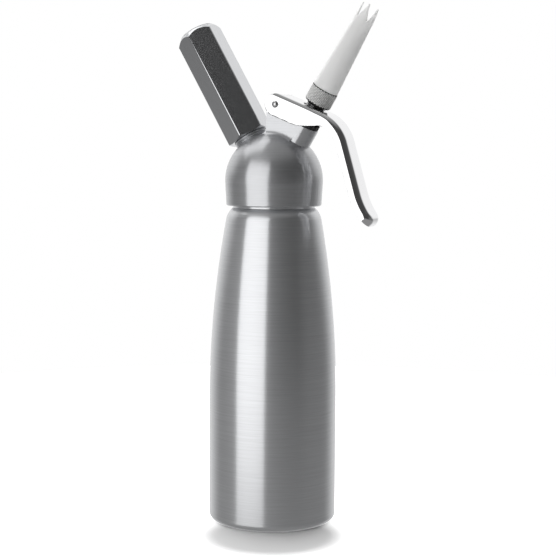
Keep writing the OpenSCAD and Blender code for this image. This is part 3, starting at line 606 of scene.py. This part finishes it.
def join(name, *meshes):
    """One mesh of several, with the same material slot."""
    shape = bmesh.new()
    for mesh in meshes:
        shape.from_mesh(mesh)
    joined = bpy.data.meshes.new(name)
    shape.to_mesh(joined)
    shape.free()
    joined.materials.append(meshes[0].materials[0])
    return joined


# %% [markdown]
# ## Threads
# A thread is a ridge that winds round its shank. The tree sweeps a four-sided wire along a spiral: its inner
# half is sunk in the shank, and its outer half is the pointed ridge.

# %% Thread tree
thread_tree, given = new_tree(
    "wound_thread", Radius="Float", Pitch="Float", Turns="Float", Depth="Float", Material="Material"
)
spiral = add(thread_tree, "GeometryNodeCurveSpiral", {
    "Resolution": 72, "Rotations": given["Turns"], "Start Radius": given["Radius"], "End Radius": given["Radius"],
    "Height": calc(thread_tree, "MULTIPLY", given["Turns"], given["Pitch"]),
}).outputs[0]
spiral = add(thread_tree, "GeometryNodeSetCurveNormal", {"Curve": spiral}, mode="Z_UP").outputs[0]
wire = add(thread_tree, "GeometryNodeCurvePrimitiveCircle", {"Resolution": 4, "Radius": given["Depth"]}).outputs[0]
ridge = add(thread_tree, "GeometryNodeCurveToMesh", {"Curve": spiral, "Profile Curve": wire, "Fill Caps": True})
end_tree(thread_tree, ridge.outputs[0], given["Material"])


def thread(radius, pitch, depth, low, high, finish):
    """A thread's ridge from low to high, all in millimetres. Its crest lies at the radius."""
    turns = (high - low) / pitch - 1
    mesh = grow(thread_tree, Radius=(radius - depth) * MM, Pitch=pitch * MM, Turns=turns, Depth=depth * MM,
                Material=finish)
    mesh.transform(Matrix.Translation((0, 0, (low + pitch / 2) * MM)))
    return mesh


# %% [markdown]
# ## The bottle
# The bottle is drawn from one disc of aluminium. Its wall is straight at the bottom, leans in along one very
# long curve, and turns over a small radius into the neck, which carries the thread for the head. The outline
# is the CAD's, turned in many more steps so that the bright band down its side has no facets.

# %% Bottle
BOTTLE_R = 40.0
BASE_ROUND = 4.0
BASE_THICK = 2.5
BASE_HOLLOW = [(0, 1.4), (30.5, 1.4), (32.5, 0.5), (33.5, 0.0)]
SHOULDER_Z = 75.0
SWEEP_R = 655.0
TURN_R = 12.0
TURN_Z = 187.8
WALL = 1.6
NECK_R = 25.5
NECK_BORE = 22.0
NECK_TOP = 211.0
NECK_LEAD = 1.0
NECK_CHAMFER = 0.5
BORE_CHAMFER = 0.4
JOIN_GAP = 0.1
THREAD_LOW = 199.5
THREAD_DEPTH = 1.2
THREAD_PITCH = 3.0
BOTTLE_SEGMENTS = 192

turn_x = BOTTLE_R - SWEEP_R + math.sqrt((SWEEP_R - TURN_R) ** 2 - (TURN_Z - SHOULDER_Z) ** 2)
join_angle = math.degrees(math.asin((TURN_Z - SHOULDER_Z) / (SWEEP_R - TURN_R)))


def bottle_wall(inset):
    """The wall's outline from the base's rounding to the top of the small turn."""
    corner = BASE_ROUND - inset / 2
    low = BASE_THICK if inset else 0.0
    return (
        arc((BOTTLE_R - inset - corner, low + corner), corner, -90, 0, steps=10)
        + arc((BOTTLE_R - SWEEP_R, SHOULDER_Z), SWEEP_R - inset, 0, join_angle, steps=40)
        + arc((turn_x, TURN_Z), TURN_R - inset, join_angle, 90, steps=20)[1:]
    )


core = NECK_R - THREAD_DEPTH
neck_foot = TURN_Z + math.sqrt(TURN_R ** 2 - (NECK_R - turn_x) ** 2)
neck = [
    (NECK_R, neck_foot), (NECK_R, THREAD_LOW - THREAD_DEPTH), (core, THREAD_LOW), (core, NECK_TOP - NECK_LEAD),
    (core - NECK_CHAMFER, NECK_TOP), (NECK_BORE + BORE_CHAMFER, NECK_TOP), (NECK_BORE, NECK_TOP - BORE_CHAMFER),
]
outside = [p for p in bottle_wall(0) if p[0] > NECK_R + JOIN_GAP]
inside = [p for p in bottle_wall(WALL) if p[0] > NECK_BORE + JOIN_GAP]
outline = BASE_HOLLOW + outside + neck + inside[::-1] + [(0, BASE_THICK)]
shell = turned(outline, brushed_aluminium, BOTTLE_SEGMENTS)
ridge = thread(NECK_R, THREAD_PITCH, THREAD_DEPTH, THREAD_LOW, NECK_TOP - NECK_LEAD, brushed_aluminium)
bottle = new_piece("bottle_shell", finish_mesh(join("bottle_shell", shell, ridge)))
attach(bottle, "bottle")
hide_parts("bottle")
print("bottle", len(bottle.data.polygons), "faces")

# %% [markdown]
# ## A sheet or a wall from two faces
# The lever and the nozzle are thin walls. Both are laid out as grids of points that come in pairs, one on the
# outer face and one on the inner. Faces are made on both sides, and the open edges are closed between them.

# %% Wall builder
SHARED_DIGITS = 4


def wall_mesh(name, grids, finish):
    """grids is a list of rows of (outer, inner) point pairs in millimetres. Pairs that coincide are shared."""
    pairs, order, faces = {}, [], []

    def number(pair):
        key = tuple(round(c, SHARED_DIGITS) for face in pair for c in face)
        if key not in pairs:
            pairs[key] = len(order)
            order.append(pair)
        return pairs[key]

    for rows in grids:
        ids = [[number(pair) for pair in row] for row in rows]
        for lower, upper in zip(ids, ids[1:]):
            for k in range(len(lower) - 1):
                loop = [lower[k], lower[k + 1], upper[k + 1], upper[k]]
                loop = [v for i, v in enumerate(loop) if v != loop[i - 1]]
                if len(loop) > 2:
                    faces.append(loop)
    half = len(order)
    edges = {(a, b) for loop in faces for a, b in zip(loop, loop[1:] + loop[:1])}
    rim = [(a, b) for a, b in edges if (b, a) not in edges]
    all_faces = faces + [[v + half for v in reversed(loop)] for loop in faces]
    all_faces += [(b, a, a + half, b + half) for a, b in sorted(rim)]
    points = [Vector(pair[0]) * MM for pair in order] + [Vector(pair[1]) * MM for pair in order]
    mesh = bpy.data.meshes.new(name)
    mesh.from_pydata(points, [], all_faces)
    shape = bmesh.new()
    shape.from_mesh(mesh)
    bmesh.ops.remove_doubles(shape, verts=shape.verts, dist=WELD_DISTANCE)
    bmesh.ops.dissolve_degenerate(shape, edges=shape.edges, dist=MERGE_DISTANCE)
    bmesh.ops.recalc_face_normals(shape, faces=shape.faces)
    shape.to_mesh(mesh)
    shape.free()
    mesh.materials.append(finish)
    return mesh


def ease(t):
    """A smooth step from 0 to 1."""
    t = min(max(t, 0.0), 1.0)
    return t * t * (3 - 2 * t)


# %% [markdown]
# ## The lever
# The lever is one piece of stainless sheet, pressed to a channel: a top plate with a cheek or flange bent down
# along each side. The plate runs from over the pin, turns down over a long knee into the grip, and turns out
# again in a short foot. The cheeks are deep and round-ended at the pin, and narrow to flanges at the knee.
# It is laid out as its flat plan, in distance along the plate and across it, and then bent along the path.

# %% Lever path
PIN = (5.6, 260.9)
SHEET = 1.5
PLATE_SLOPE = 21.8
PLATE_OVER_PIN = 6.7
PLATE_LEN = 29.2
KNEE_R = 27.5
GRIP_SLOPE = 73.5
GRIP_LEN = 32.4
FOOT_R = 40.0
FOOT_TURN = 27.0


def down(slope):
    """The unit vector down a slope of so many degrees, as X and Z."""
    a = math.radians(slope)
    return Vector((math.cos(a), -math.sin(a)))


def over(slope):
    """The unit vector square to that slope, on its upper side."""
    a = math.radians(slope)
    return Vector((math.sin(a), math.cos(a)))


knee_len = KNEE_R * math.radians(GRIP_SLOPE - PLATE_SLOPE)
foot_len = FOOT_R * math.radians(FOOT_TURN)
GRIP_START = PLATE_LEN + knee_len
FOOT_START = GRIP_START + GRIP_LEN
LEVER_END = FOOT_START + foot_len
plate_at = Vector(PIN) + PLATE_OVER_PIN * over(PLATE_SLOPE)
knee_c = plate_at + PLATE_LEN * down(PLATE_SLOPE) - KNEE_R * over(PLATE_SLOPE)
grip_at = knee_c + KNEE_R * over(GRIP_SLOPE)
foot_c = grip_at + GRIP_LEN * down(GRIP_SLOPE) + FOOT_R * over(GRIP_SLOPE)


def path(s):
    """The plate's outer face at the distance s along it, as a point in X-Z and the slope there."""
    if s <= PLATE_LEN:
        return plate_at + s * down(PLATE_SLOPE), PLATE_SLOPE
    if s <= GRIP_START:
        slope = PLATE_SLOPE + math.degrees((s - PLATE_LEN) / KNEE_R)
        return knee_c + KNEE_R * over(slope), slope
    if s <= FOOT_START:
        return grip_at + (s - GRIP_START) * down(GRIP_SLOPE), GRIP_SLOPE
    slope = GRIP_SLOPE - math.degrees((s - FOOT_START) / FOOT_R)
    return foot_c - FOOT_R * over(slope), slope


def bent(s, y, depth):
    """The plan's point (s, y), at a depth under the plate's outer face, on the bent lever."""
    at, slope = path(s)
    at = at - depth * over(slope)
    return (at.x, y, at.y)


# %% [markdown]
# The flange's depth follows the photograph: deep over the pin, shallow in the middle of the knee, a little
# deeper along the grip and shallow again at the foot. One easing curve joins each pair of depths.

# %% Lever outline
CHEEK_DEPTH = 13.7
CHEEK_LEN = 13.5
KNEE_DEPTH = 5.8
GRIP_DEPTH = 6.2
FOOT_DEPTH = 5.7
PLATE_BEND_R = 3.0
GRIP_BEND_R = 4.0
EYE_R = CHEEK_DEPTH / 2
CHEEK_HALF_W = 11.0
GRIP_HALF_W = 9.55
TAPER_START = 28.7
TAPER_END = 56.5
TIP_ROUND = 6.0
KNEE_MIDDLE = PLATE_LEN + knee_len / 2


def flange_depth(s):
    if s < 0:
        return EYE_R + math.sqrt(max(EYE_R ** 2 - s * s, 0.0))
    if s < KNEE_MIDDLE:
        return CHEEK_DEPTH + (KNEE_DEPTH - CHEEK_DEPTH) * ease((s - CHEEK_LEN) / (KNEE_MIDDLE - CHEEK_LEN))
    if s < GRIP_START:
        return KNEE_DEPTH + (GRIP_DEPTH - KNEE_DEPTH) * ease((s - KNEE_MIDDLE) / (GRIP_START - KNEE_MIDDLE))
    return GRIP_DEPTH + (FOOT_DEPTH - GRIP_DEPTH) * ease((s - FOOT_START) / foot_len)


def bend_radius(s):
    """Outer radius of the bend between the plate and its flange, wider along the grip."""
    return PLATE_BEND_R + (GRIP_BEND_R - PLATE_BEND_R) * ease((s - CHEEK_LEN) / (KNEE_MIDDLE - CHEEK_LEN))


def top_depth(s):
    """How far under the plate the round end of the cheek begins."""
    return EYE_R - math.sqrt(max(EYE_R ** 2 - s * s, 0.0)) if s < 0 else 0.0


def half_width(s):
    return CHEEK_HALF_W + (GRIP_HALF_W - CHEEK_HALF_W) * ease((s - TAPER_START) / (TAPER_END - TAPER_START))


# %% Lever sheet
FLANGE_ROWS = 8
BEND_ROWS = 8
PLATE_COLUMNS = 8
EYE_STEPS = 14
TIP_STEPS = 8
PLATE_STEPS, KNEE_STEPS, GRIP_STEPS, FOOT_STEPS = 18, 36, 12, 16


def section(s, y, normal, inset):
    """Points of one face from the flange's edge up to the end of the bend, seen from the plan's outline point
    (s, y) whose normal points outwards. inset is 0 on the outer face and the sheet's thickness on the inner."""
    top, low, bend = top_depth(s), flange_depth(s), bend_radius(s)
    radius = bend - inset
    points = []
    start = min(max(bend, top), low)
    for k in range(FLANGE_ROWS):
        depth = low + (start - low) * k / FLANGE_ROWS
        points.append((inset, depth))
    for k in range(BEND_ROWS + 1):
        a = math.radians(90 * k / BEND_ROWS)
        if bend - radius * math.sin(a) < top:
            a = math.asin(max(0.0, bend - top) / radius) if bend - top < radius else a
        depth = max(bend - radius * math.sin(a), top)
        points.append((bend - radius * math.cos(a), depth))
    return [bent(s - normal[0] * q, y - normal[1] * q, depth) for q, depth in points]


def paired(s, y, normal):
    """The outer and the inner face's points of one section, in pairs."""
    return list(zip(section(s, y, normal, 0.0), section(s, y, normal, SHEET)))


def other_side(pair_row):
    """The row mirrored to the lever's other side, in the opposite order."""
    return [tuple((x, -y, z) for x, y, z in pair) for pair in reversed(pair_row)]


def between(a, b, steps):
    """Pairs spread evenly from pair a to pair b, without the two ends."""
    return [
        tuple(tuple(p + (q - p) * k / steps for p, q in zip(a[face], b[face])) for face in (0, 1))
        for k in range(1, steps)
    ]


stretches = [
    (0.0, PLATE_LEN, PLATE_STEPS), (PLATE_LEN, knee_len, KNEE_STEPS),
    (GRIP_START, GRIP_LEN, GRIP_STEPS), (FOOT_START, foot_len, FOOT_STEPS),
]
stations = [start + length * k / steps for start, length, steps in stretches for k in range(steps)]
stations = [s for s in stations if s < LEVER_END - TIP_ROUND]
tip_angles = [math.radians(90 * k / TIP_STEPS) for k in range(TIP_STEPS + 1)]
tip_half = half_width(LEVER_END) - TIP_ROUND
side_rows = [paired(s, half_width(s), (0, 1)) for s in stations] + [
    paired(
        LEVER_END - TIP_ROUND + TIP_ROUND * math.sin(a), tip_half + TIP_ROUND * math.cos(a),
        (math.sin(a), math.cos(a)),
    ) for a in tip_angles
]
main_rows = [row + between(row[-1], other_side(row)[0], PLATE_COLUMNS) + other_side(row) for row in side_rows]
eye_rows = [
    paired(-EYE_R * math.cos(math.radians(90 * k / EYE_STEPS)), CHEEK_HALF_W, (0, 1))
    for k in range(EYE_STEPS)
] + [side_rows[0]]
far_eye_rows = [other_side(row) for row in eye_rows]
end_rows = [
    paired(LEVER_END, tip_half * (1 - 2 * k / PLATE_COLUMNS), (1, 0)) for k in range(PLATE_COLUMNS + 1)
]
lever_sheet = wall_mesh("lever_sheet", [main_rows, eye_rows, far_eye_rows, end_rows], polished_steel)
print("lever sheet", len(lever_sheet.polygons), "faces")

# %% [markdown]
# The pin goes through both cheeks, and the stem comes up through the plate. Both holes are cut with the
# Boolean modifier. A small Bevel then breaks every sharp edge, as polishing does, and catches the light.

# %% Lever holes and edges
PIN_R = 1.6
RUNNING_GAP = 0.05
STEM_HOLE_R = 7.1
STEM_HOLE_S = 20.6
PIN_CUT_LEN = 40
STEM_CUT_LEN = 8
HOLE_SEGMENTS = 64
LEVER_BEVEL = 0.35


def cutter(name, radius, length, place):
    """A hidden cylinder, to cut a hole with, that stands on its place's origin."""
    mesh = turned([(0, 0), (radius, 0), (radius, length), (0, length)], polished_steel, HOLE_SEGMENTS)
    mesh.transform(place)
    piece = new_piece(name, mesh)
    piece.hide_render = True
    return piece


pin_place = (
    Matrix.Translation((PIN[0] * MM, -PIN_CUT_LEN / 2 * MM, PIN[1] * MM)) @ Matrix.Rotation(-math.pi / 2, 4, "X")
)
hole_at = plate_at + STEM_HOLE_S * down(PLATE_SLOPE)
hole_place = (
    Matrix.Translation((hole_at.x * MM, 0, hole_at.y * MM))
    @ Matrix.Rotation(math.radians(PLATE_SLOPE), 4, "Y")
    @ Matrix.Translation((0, 0, -STEM_CUT_LEN / 2 * MM))
)
pressed = new_piece("pressed_lever", lever_sheet)
for hole in (
    cutter("pin_hole", PIN_R + RUNNING_GAP, PIN_CUT_LEN, pin_place),
    cutter("stem_hole", STEM_HOLE_R, STEM_CUT_LEN, hole_place),
):
    modifier = pressed.modifiers.new(hole.name, "BOOLEAN")
    modifier.operation = "DIFFERENCE"
    modifier.solver = "EXACT"
    modifier.object = hole
bevelled(pressed, LEVER_BEVEL, segments=2, degrees=40).harden_normals = True
lever = new_piece("lever_channel", finish_mesh(evaluated_mesh(pressed)))
for name in ("pin_hole", "stem_hole"):
    bpy.data.objects.remove(bpy.data.objects[name])
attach(lever, "lever")
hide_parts("lever")
print("lever", len(lever.data.polygons), "faces")

# %% [markdown]
# ## The nozzle
# The nozzle is a long cone moulded with teeth at its mouth, which shape the cream to a star. Each tooth is a
# narrow point, and each notch has a round bottom. The top edge is a height for each angle, and the last part
# of the wall is stretched to meet it.

# %% Nozzle
NOZZLE_LOW = 67.03
NOZZLE_TIP = 123.48
NOZZLE_BASE_R = 8.2
NOZZLE_TIP_R = 5.6
NOZZLE_WALL = 1.5
TOOTH_COUNT = 5
TOOTH_LEN = 9.0
TOOTH_TURN = -88.0
TOOTH_COLUMNS = 24
TOOTH_SHARE = 0.12
TOOTH_BLEND = 1.5
NOTCH_ROUND = 0.22
NOZZLE_BEVEL = 0.15
NOZZLE_ROWS = 14
TOOTH_ROWS = 14
SPIGOT_R = 7.2
SPIGOT_LOW = 63.88


def notch_height(turn):
    """The mouth's height at this angle, as a share of the teeth's length."""
    share = (turn - TOOTH_TURN) / 360 * TOOTH_COUNT
    from_tooth = abs(share - round(share)) * 2
    u = min(max((1 - from_tooth) / (1 - TOOTH_SHARE), 0.0), 1.0)
    return (math.hypot(u, NOTCH_ROUND) - NOTCH_ROUND) / (math.hypot(1, NOTCH_ROUND) - NOTCH_ROUND)


def nozzle_pair(turn, height):
    """The cone's outer and inner point at this angle and height. Its wall is half as thick at the tip."""
    share = (height - NOZZLE_LOW) / (NOZZLE_TIP - NOZZLE_LOW)
    r_out = NOZZLE_BASE_R + (NOZZLE_TIP_R - NOZZLE_BASE_R) * share
    r_in = r_out - NOZZLE_WALL * (1 - share / 2)
    a = math.radians(turn)
    return tuple((r * math.cos(a), r * math.sin(a), height) for r in (r_out, r_in))


def spigot_pair(turn, height):
    """The same for the straight spigot that sits in the collar."""
    a = math.radians(turn)
    return tuple((r * math.cos(a), r * math.sin(a), height) for r in (SPIGOT_R, SPIGOT_R - NOZZLE_WALL))


columns = TOOTH_COUNT * TOOTH_COLUMNS
turns = [TOOTH_TURN + 360 * k / columns for k in range(columns)]
turns.append(turns[0])
root = NOZZLE_TIP - TOOTH_LEN
body_heights = [NOZZLE_LOW + (root - NOZZLE_LOW) * k / NOZZLE_ROWS for k in range(NOZZLE_ROWS)]
rows = [[spigot_pair(t, SPIGOT_LOW) for t in turns]] + [[nozzle_pair(t, h) for t in turns] for h in body_heights]
for k in range(TOOTH_ROWS + 1):
    share = k / TOOTH_ROWS
    low = root - TOOTH_BLEND * (1 - share)
    rows.append([nozzle_pair(t, low + share * TOOTH_LEN * notch_height(t)) for t in turns])
nozzle_mesh = wall_mesh("tulip_nozzle_wall", [rows], frosted_plastic)
moulded = new_piece("moulded_nozzle", nozzle_mesh)
bevelled(moulded, NOZZLE_BEVEL, segments=2, degrees=50)
nozzle = new_piece("toothed_nozzle", finish_mesh(evaluated_mesh(moulded), VALVE_AXIS))
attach(nozzle, "nozzle")
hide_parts("tulip_nozzle")
print("nozzle", len(nozzle.data.polygons), "faces")

# %% [markdown]
# ## The knurled collar
# A diamond knurl is rolled into the collar by two crossed wheels, which leave rows of small pyramids. On a
# grid rolled round the collar, every second vertex is a crossing of the grooves and the ones between are the
# peaks. Cutting each grid square along its shortest diagonal lays the cut in the groove.

# %% Knurl tree
knurl_tree, given = new_tree(
    "diamond_knurl", Radius="Float", Low="Float", High="Float", Columns="Int", Rows="Int", Depth="Float",
    Material="Material"
)
across = calc(knurl_tree, "ADD", given["Columns"], 1.0)
height = calc(knurl_tree, "ADD", given["Rows"], 1.0)
grid = add(knurl_tree, "GeometryNodeMeshGrid", {"Vertices X": across, "Vertices Y": height}).outputs["Mesh"]
column, row = grid_place(knurl_tree, height)
odd = calc(knurl_tree, "MODULO", calc(knurl_tree, "ADD", row, column), 2.0)
inside = calc(knurl_tree, "MULTIPLY",
              calc(knurl_tree, "GREATER_THAN", row, 0.5),
              calc(knurl_tree, "LESS_THAN", row, calc(knurl_tree, "SUBTRACT", given["Rows"], 0.5)))
sunk = calc(knurl_tree, "SUBTRACT", 1.0, calc(knurl_tree, "MULTIPLY", odd, inside))
radius = calc(knurl_tree, "SUBTRACT", given["Radius"], calc(knurl_tree, "MULTIPLY", sunk, given["Depth"]))
angle = calc(knurl_tree, "MULTIPLY", calc(knurl_tree, "DIVIDE", column, given["Columns"]), math.tau)
span = calc(knurl_tree, "SUBTRACT", given["High"], given["Low"])
z = calc(knurl_tree, "ADD", given["Low"],
         calc(knurl_tree, "MULTIPLY", span, calc(knurl_tree, "DIVIDE", row, given["Rows"])))
rolled = add(knurl_tree, "GeometryNodeSetPosition", {
    "Geometry": grid, "Position": polar(knurl_tree, radius, angle, z),
}).outputs[0]
cut = add(knurl_tree, "GeometryNodeTriangulate", {"Mesh": rolled}, quad_method="SHORTEST_DIAGONAL").outputs[0]
closed = add(knurl_tree, "GeometryNodeMergeByDistance", {"Geometry": cut, "Distance": MERGE_DISTANCE})
end_tree(knurl_tree, closed.outputs[0], given["Material"])

# %% Collar
COLLAR_R = 8.6
COLLAR_LOW = 56.08
COLLAR_TOP = 66.98
COLLAR_BORE = 6.35
COLLAR_STEP = 63.78
COLLAR_BORE_TOP = 7.25
KNURL_PITCH = 1.0
KNURL_DEPTH = 0.2
CHAMFER = 0.6

knurl_low, knurl_high = COLLAR_LOW + CHAMFER, COLLAR_TOP - CHAMFER
knurl_columns = 2 * round(math.pi * COLLAR_R / KNURL_PITCH)
knurl_rows = 2 * round((knurl_high - knurl_low) / KNURL_PITCH)
knurl = grow(knurl_tree, Radius=COLLAR_R * MM, Low=knurl_low * MM, High=knurl_high * MM, Columns=knurl_columns,
             Rows=knurl_rows, Depth=KNURL_DEPTH * MM, Material=knurled_steel)
valley = COLLAR_R - KNURL_DEPTH
ring = turned([
    (valley, knurl_high), (valley - CHAMFER, COLLAR_TOP), (COLLAR_BORE_TOP, COLLAR_TOP),
    (COLLAR_BORE_TOP, COLLAR_STEP), (COLLAR_BORE, COLLAR_STEP), (COLLAR_BORE, COLLAR_LOW),
    (valley - CHAMFER, COLLAR_LOW), (valley, knurl_low),
], knurled_steel, knurl_columns)
collar_mesh = join("knurled_collar", knurl, ring)
shape = bmesh.new()
shape.from_mesh(collar_mesh)
bmesh.ops.remove_doubles(shape, verts=shape.verts, dist=WELD_DISTANCE)
shape.to_mesh(collar_mesh)
shape.free()
collar_mesh.transform(VALVE_AXIS)
collar = new_piece("knurled_collar", collar_mesh)
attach(collar, "nozzle")
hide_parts("nozzle_collar")
print("collar", knurl_columns // 2, "by", knurl_rows // 2, "diamonds")

# %% [markdown]
# ## The stem head
# Between the collar and the lever's plate the thread of the stem head shows, with painted shade darkening its
# grooves. Its flange lies under the plate.

# %% Stem head
FLANGE_R = 8.4
FLANGE_T = 1.5
FLANGE_TOP = 50.68
FLANGE_CHAMFER = 0.2
STEM_THREAD_R = 6.2
STEM_PITCH = 1.5
STEM_DEPTH = 0.75
STEM_TOP = 62.28
STEM_BORE = 2.3
STUD_BORE = 3.45
STUD_TOP = 56.37
STEM_CHAMFER = 0.4
STEM_SEGMENTS = 96

core = STEM_THREAD_R - STEM_DEPTH
flange_low = FLANGE_TOP - FLANGE_T
stem_outline = [
    (STUD_BORE, flange_low), (FLANGE_R - FLANGE_CHAMFER, flange_low), (FLANGE_R, flange_low + FLANGE_CHAMFER),
    (FLANGE_R, FLANGE_TOP - FLANGE_CHAMFER), (FLANGE_R - FLANGE_CHAMFER, FLANGE_TOP), (core, FLANGE_TOP),
    (core, STEM_TOP - STEM_CHAMFER), (core - STEM_CHAMFER, STEM_TOP), (STEM_BORE, STEM_TOP),
    (STEM_BORE, STUD_TOP), (STUD_BORE, STUD_TOP), (STUD_BORE, flange_low),
]
stem_mesh = join(
    "stem_head", turned(stem_outline, threaded_steel, STEM_SEGMENTS),
    thread(STEM_THREAD_R, STEM_PITCH, STEM_DEPTH, FLANGE_TOP, STEM_TOP, threaded_steel),
)
stem = new_piece("threaded_stem_head", finish_mesh(stem_mesh, VALVE_AXIS))
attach(stem, "valve")
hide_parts("stem_head")

# %% [markdown]
# ## The charger holder
# The holder is hexagonal bar. Its long edges aren't knife-sharp: a narrow rounding on each one shows as a
# bright line. The CAD node's mesh is copied and its loose triangles are merged to clean faces. The long edges
# get a weight, and a Bevel rounds those alone. The wide faces are then shaded flat, so that only the
# roundings bend the light.

# %% Charger holder
HOLDER_EDGE = 0.45
LONG_EDGE = 30
FLAT_ANGLE = math.radians(1)
WIDE_FACE_MM2 = 60


def merged_copy(node_name):
    """A copy of a CAD node's mesh with shared vertices, flat faces made whole and its long edges marked."""
    mesh = nodes[node_name].data.copy()
    shape = bmesh.new()
    shape.from_mesh(mesh)
    bmesh.ops.remove_doubles(shape, verts=shape.verts, dist=MERGE_DISTANCE)
    bmesh.ops.dissolve_limit(shape, angle_limit=FLAT_ANGLE, verts=shape.verts, edges=shape.edges)
    weight = shape.edges.layers.float.new("bevel_weight_edge")
    for edge in shape.edges:
        edge[weight] = float(edge.calc_length() > LONG_EDGE * MM and edge.calc_face_angle(0.0) > SHARP_ANGLE)
    shape.to_mesh(mesh)
    shape.free()
    return mesh


rough_bar = new_piece("rough_bar", merged_copy("charger_holder"))
bevelled(rough_bar, HOLDER_EDGE, segments=3)
holder = new_piece("hexagonal_holder", finish_mesh(evaluated_mesh(rough_bar)))
for face in holder.data.polygons:
    face.use_smooth = face.area < WIDE_FACE_MM2 * MM * MM
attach(holder, "holder")
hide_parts("charger_holder")
print("holder", len(holder.data.polygons), "faces")

# %% [markdown]
# ## The valve spring
# The spring stands on the bush and carries the washer of the stem, out of sight in the column. Its CAD mesh is
# copied to a piece of its own on the head, and nothing here squashes it when the lever presses the stem down.

spring = new_piece("coiled_valve_spring", finish_mesh(nodes["valve_spring"].data.copy()))
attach(spring, "head")
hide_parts("valve_spring")
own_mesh(spring)
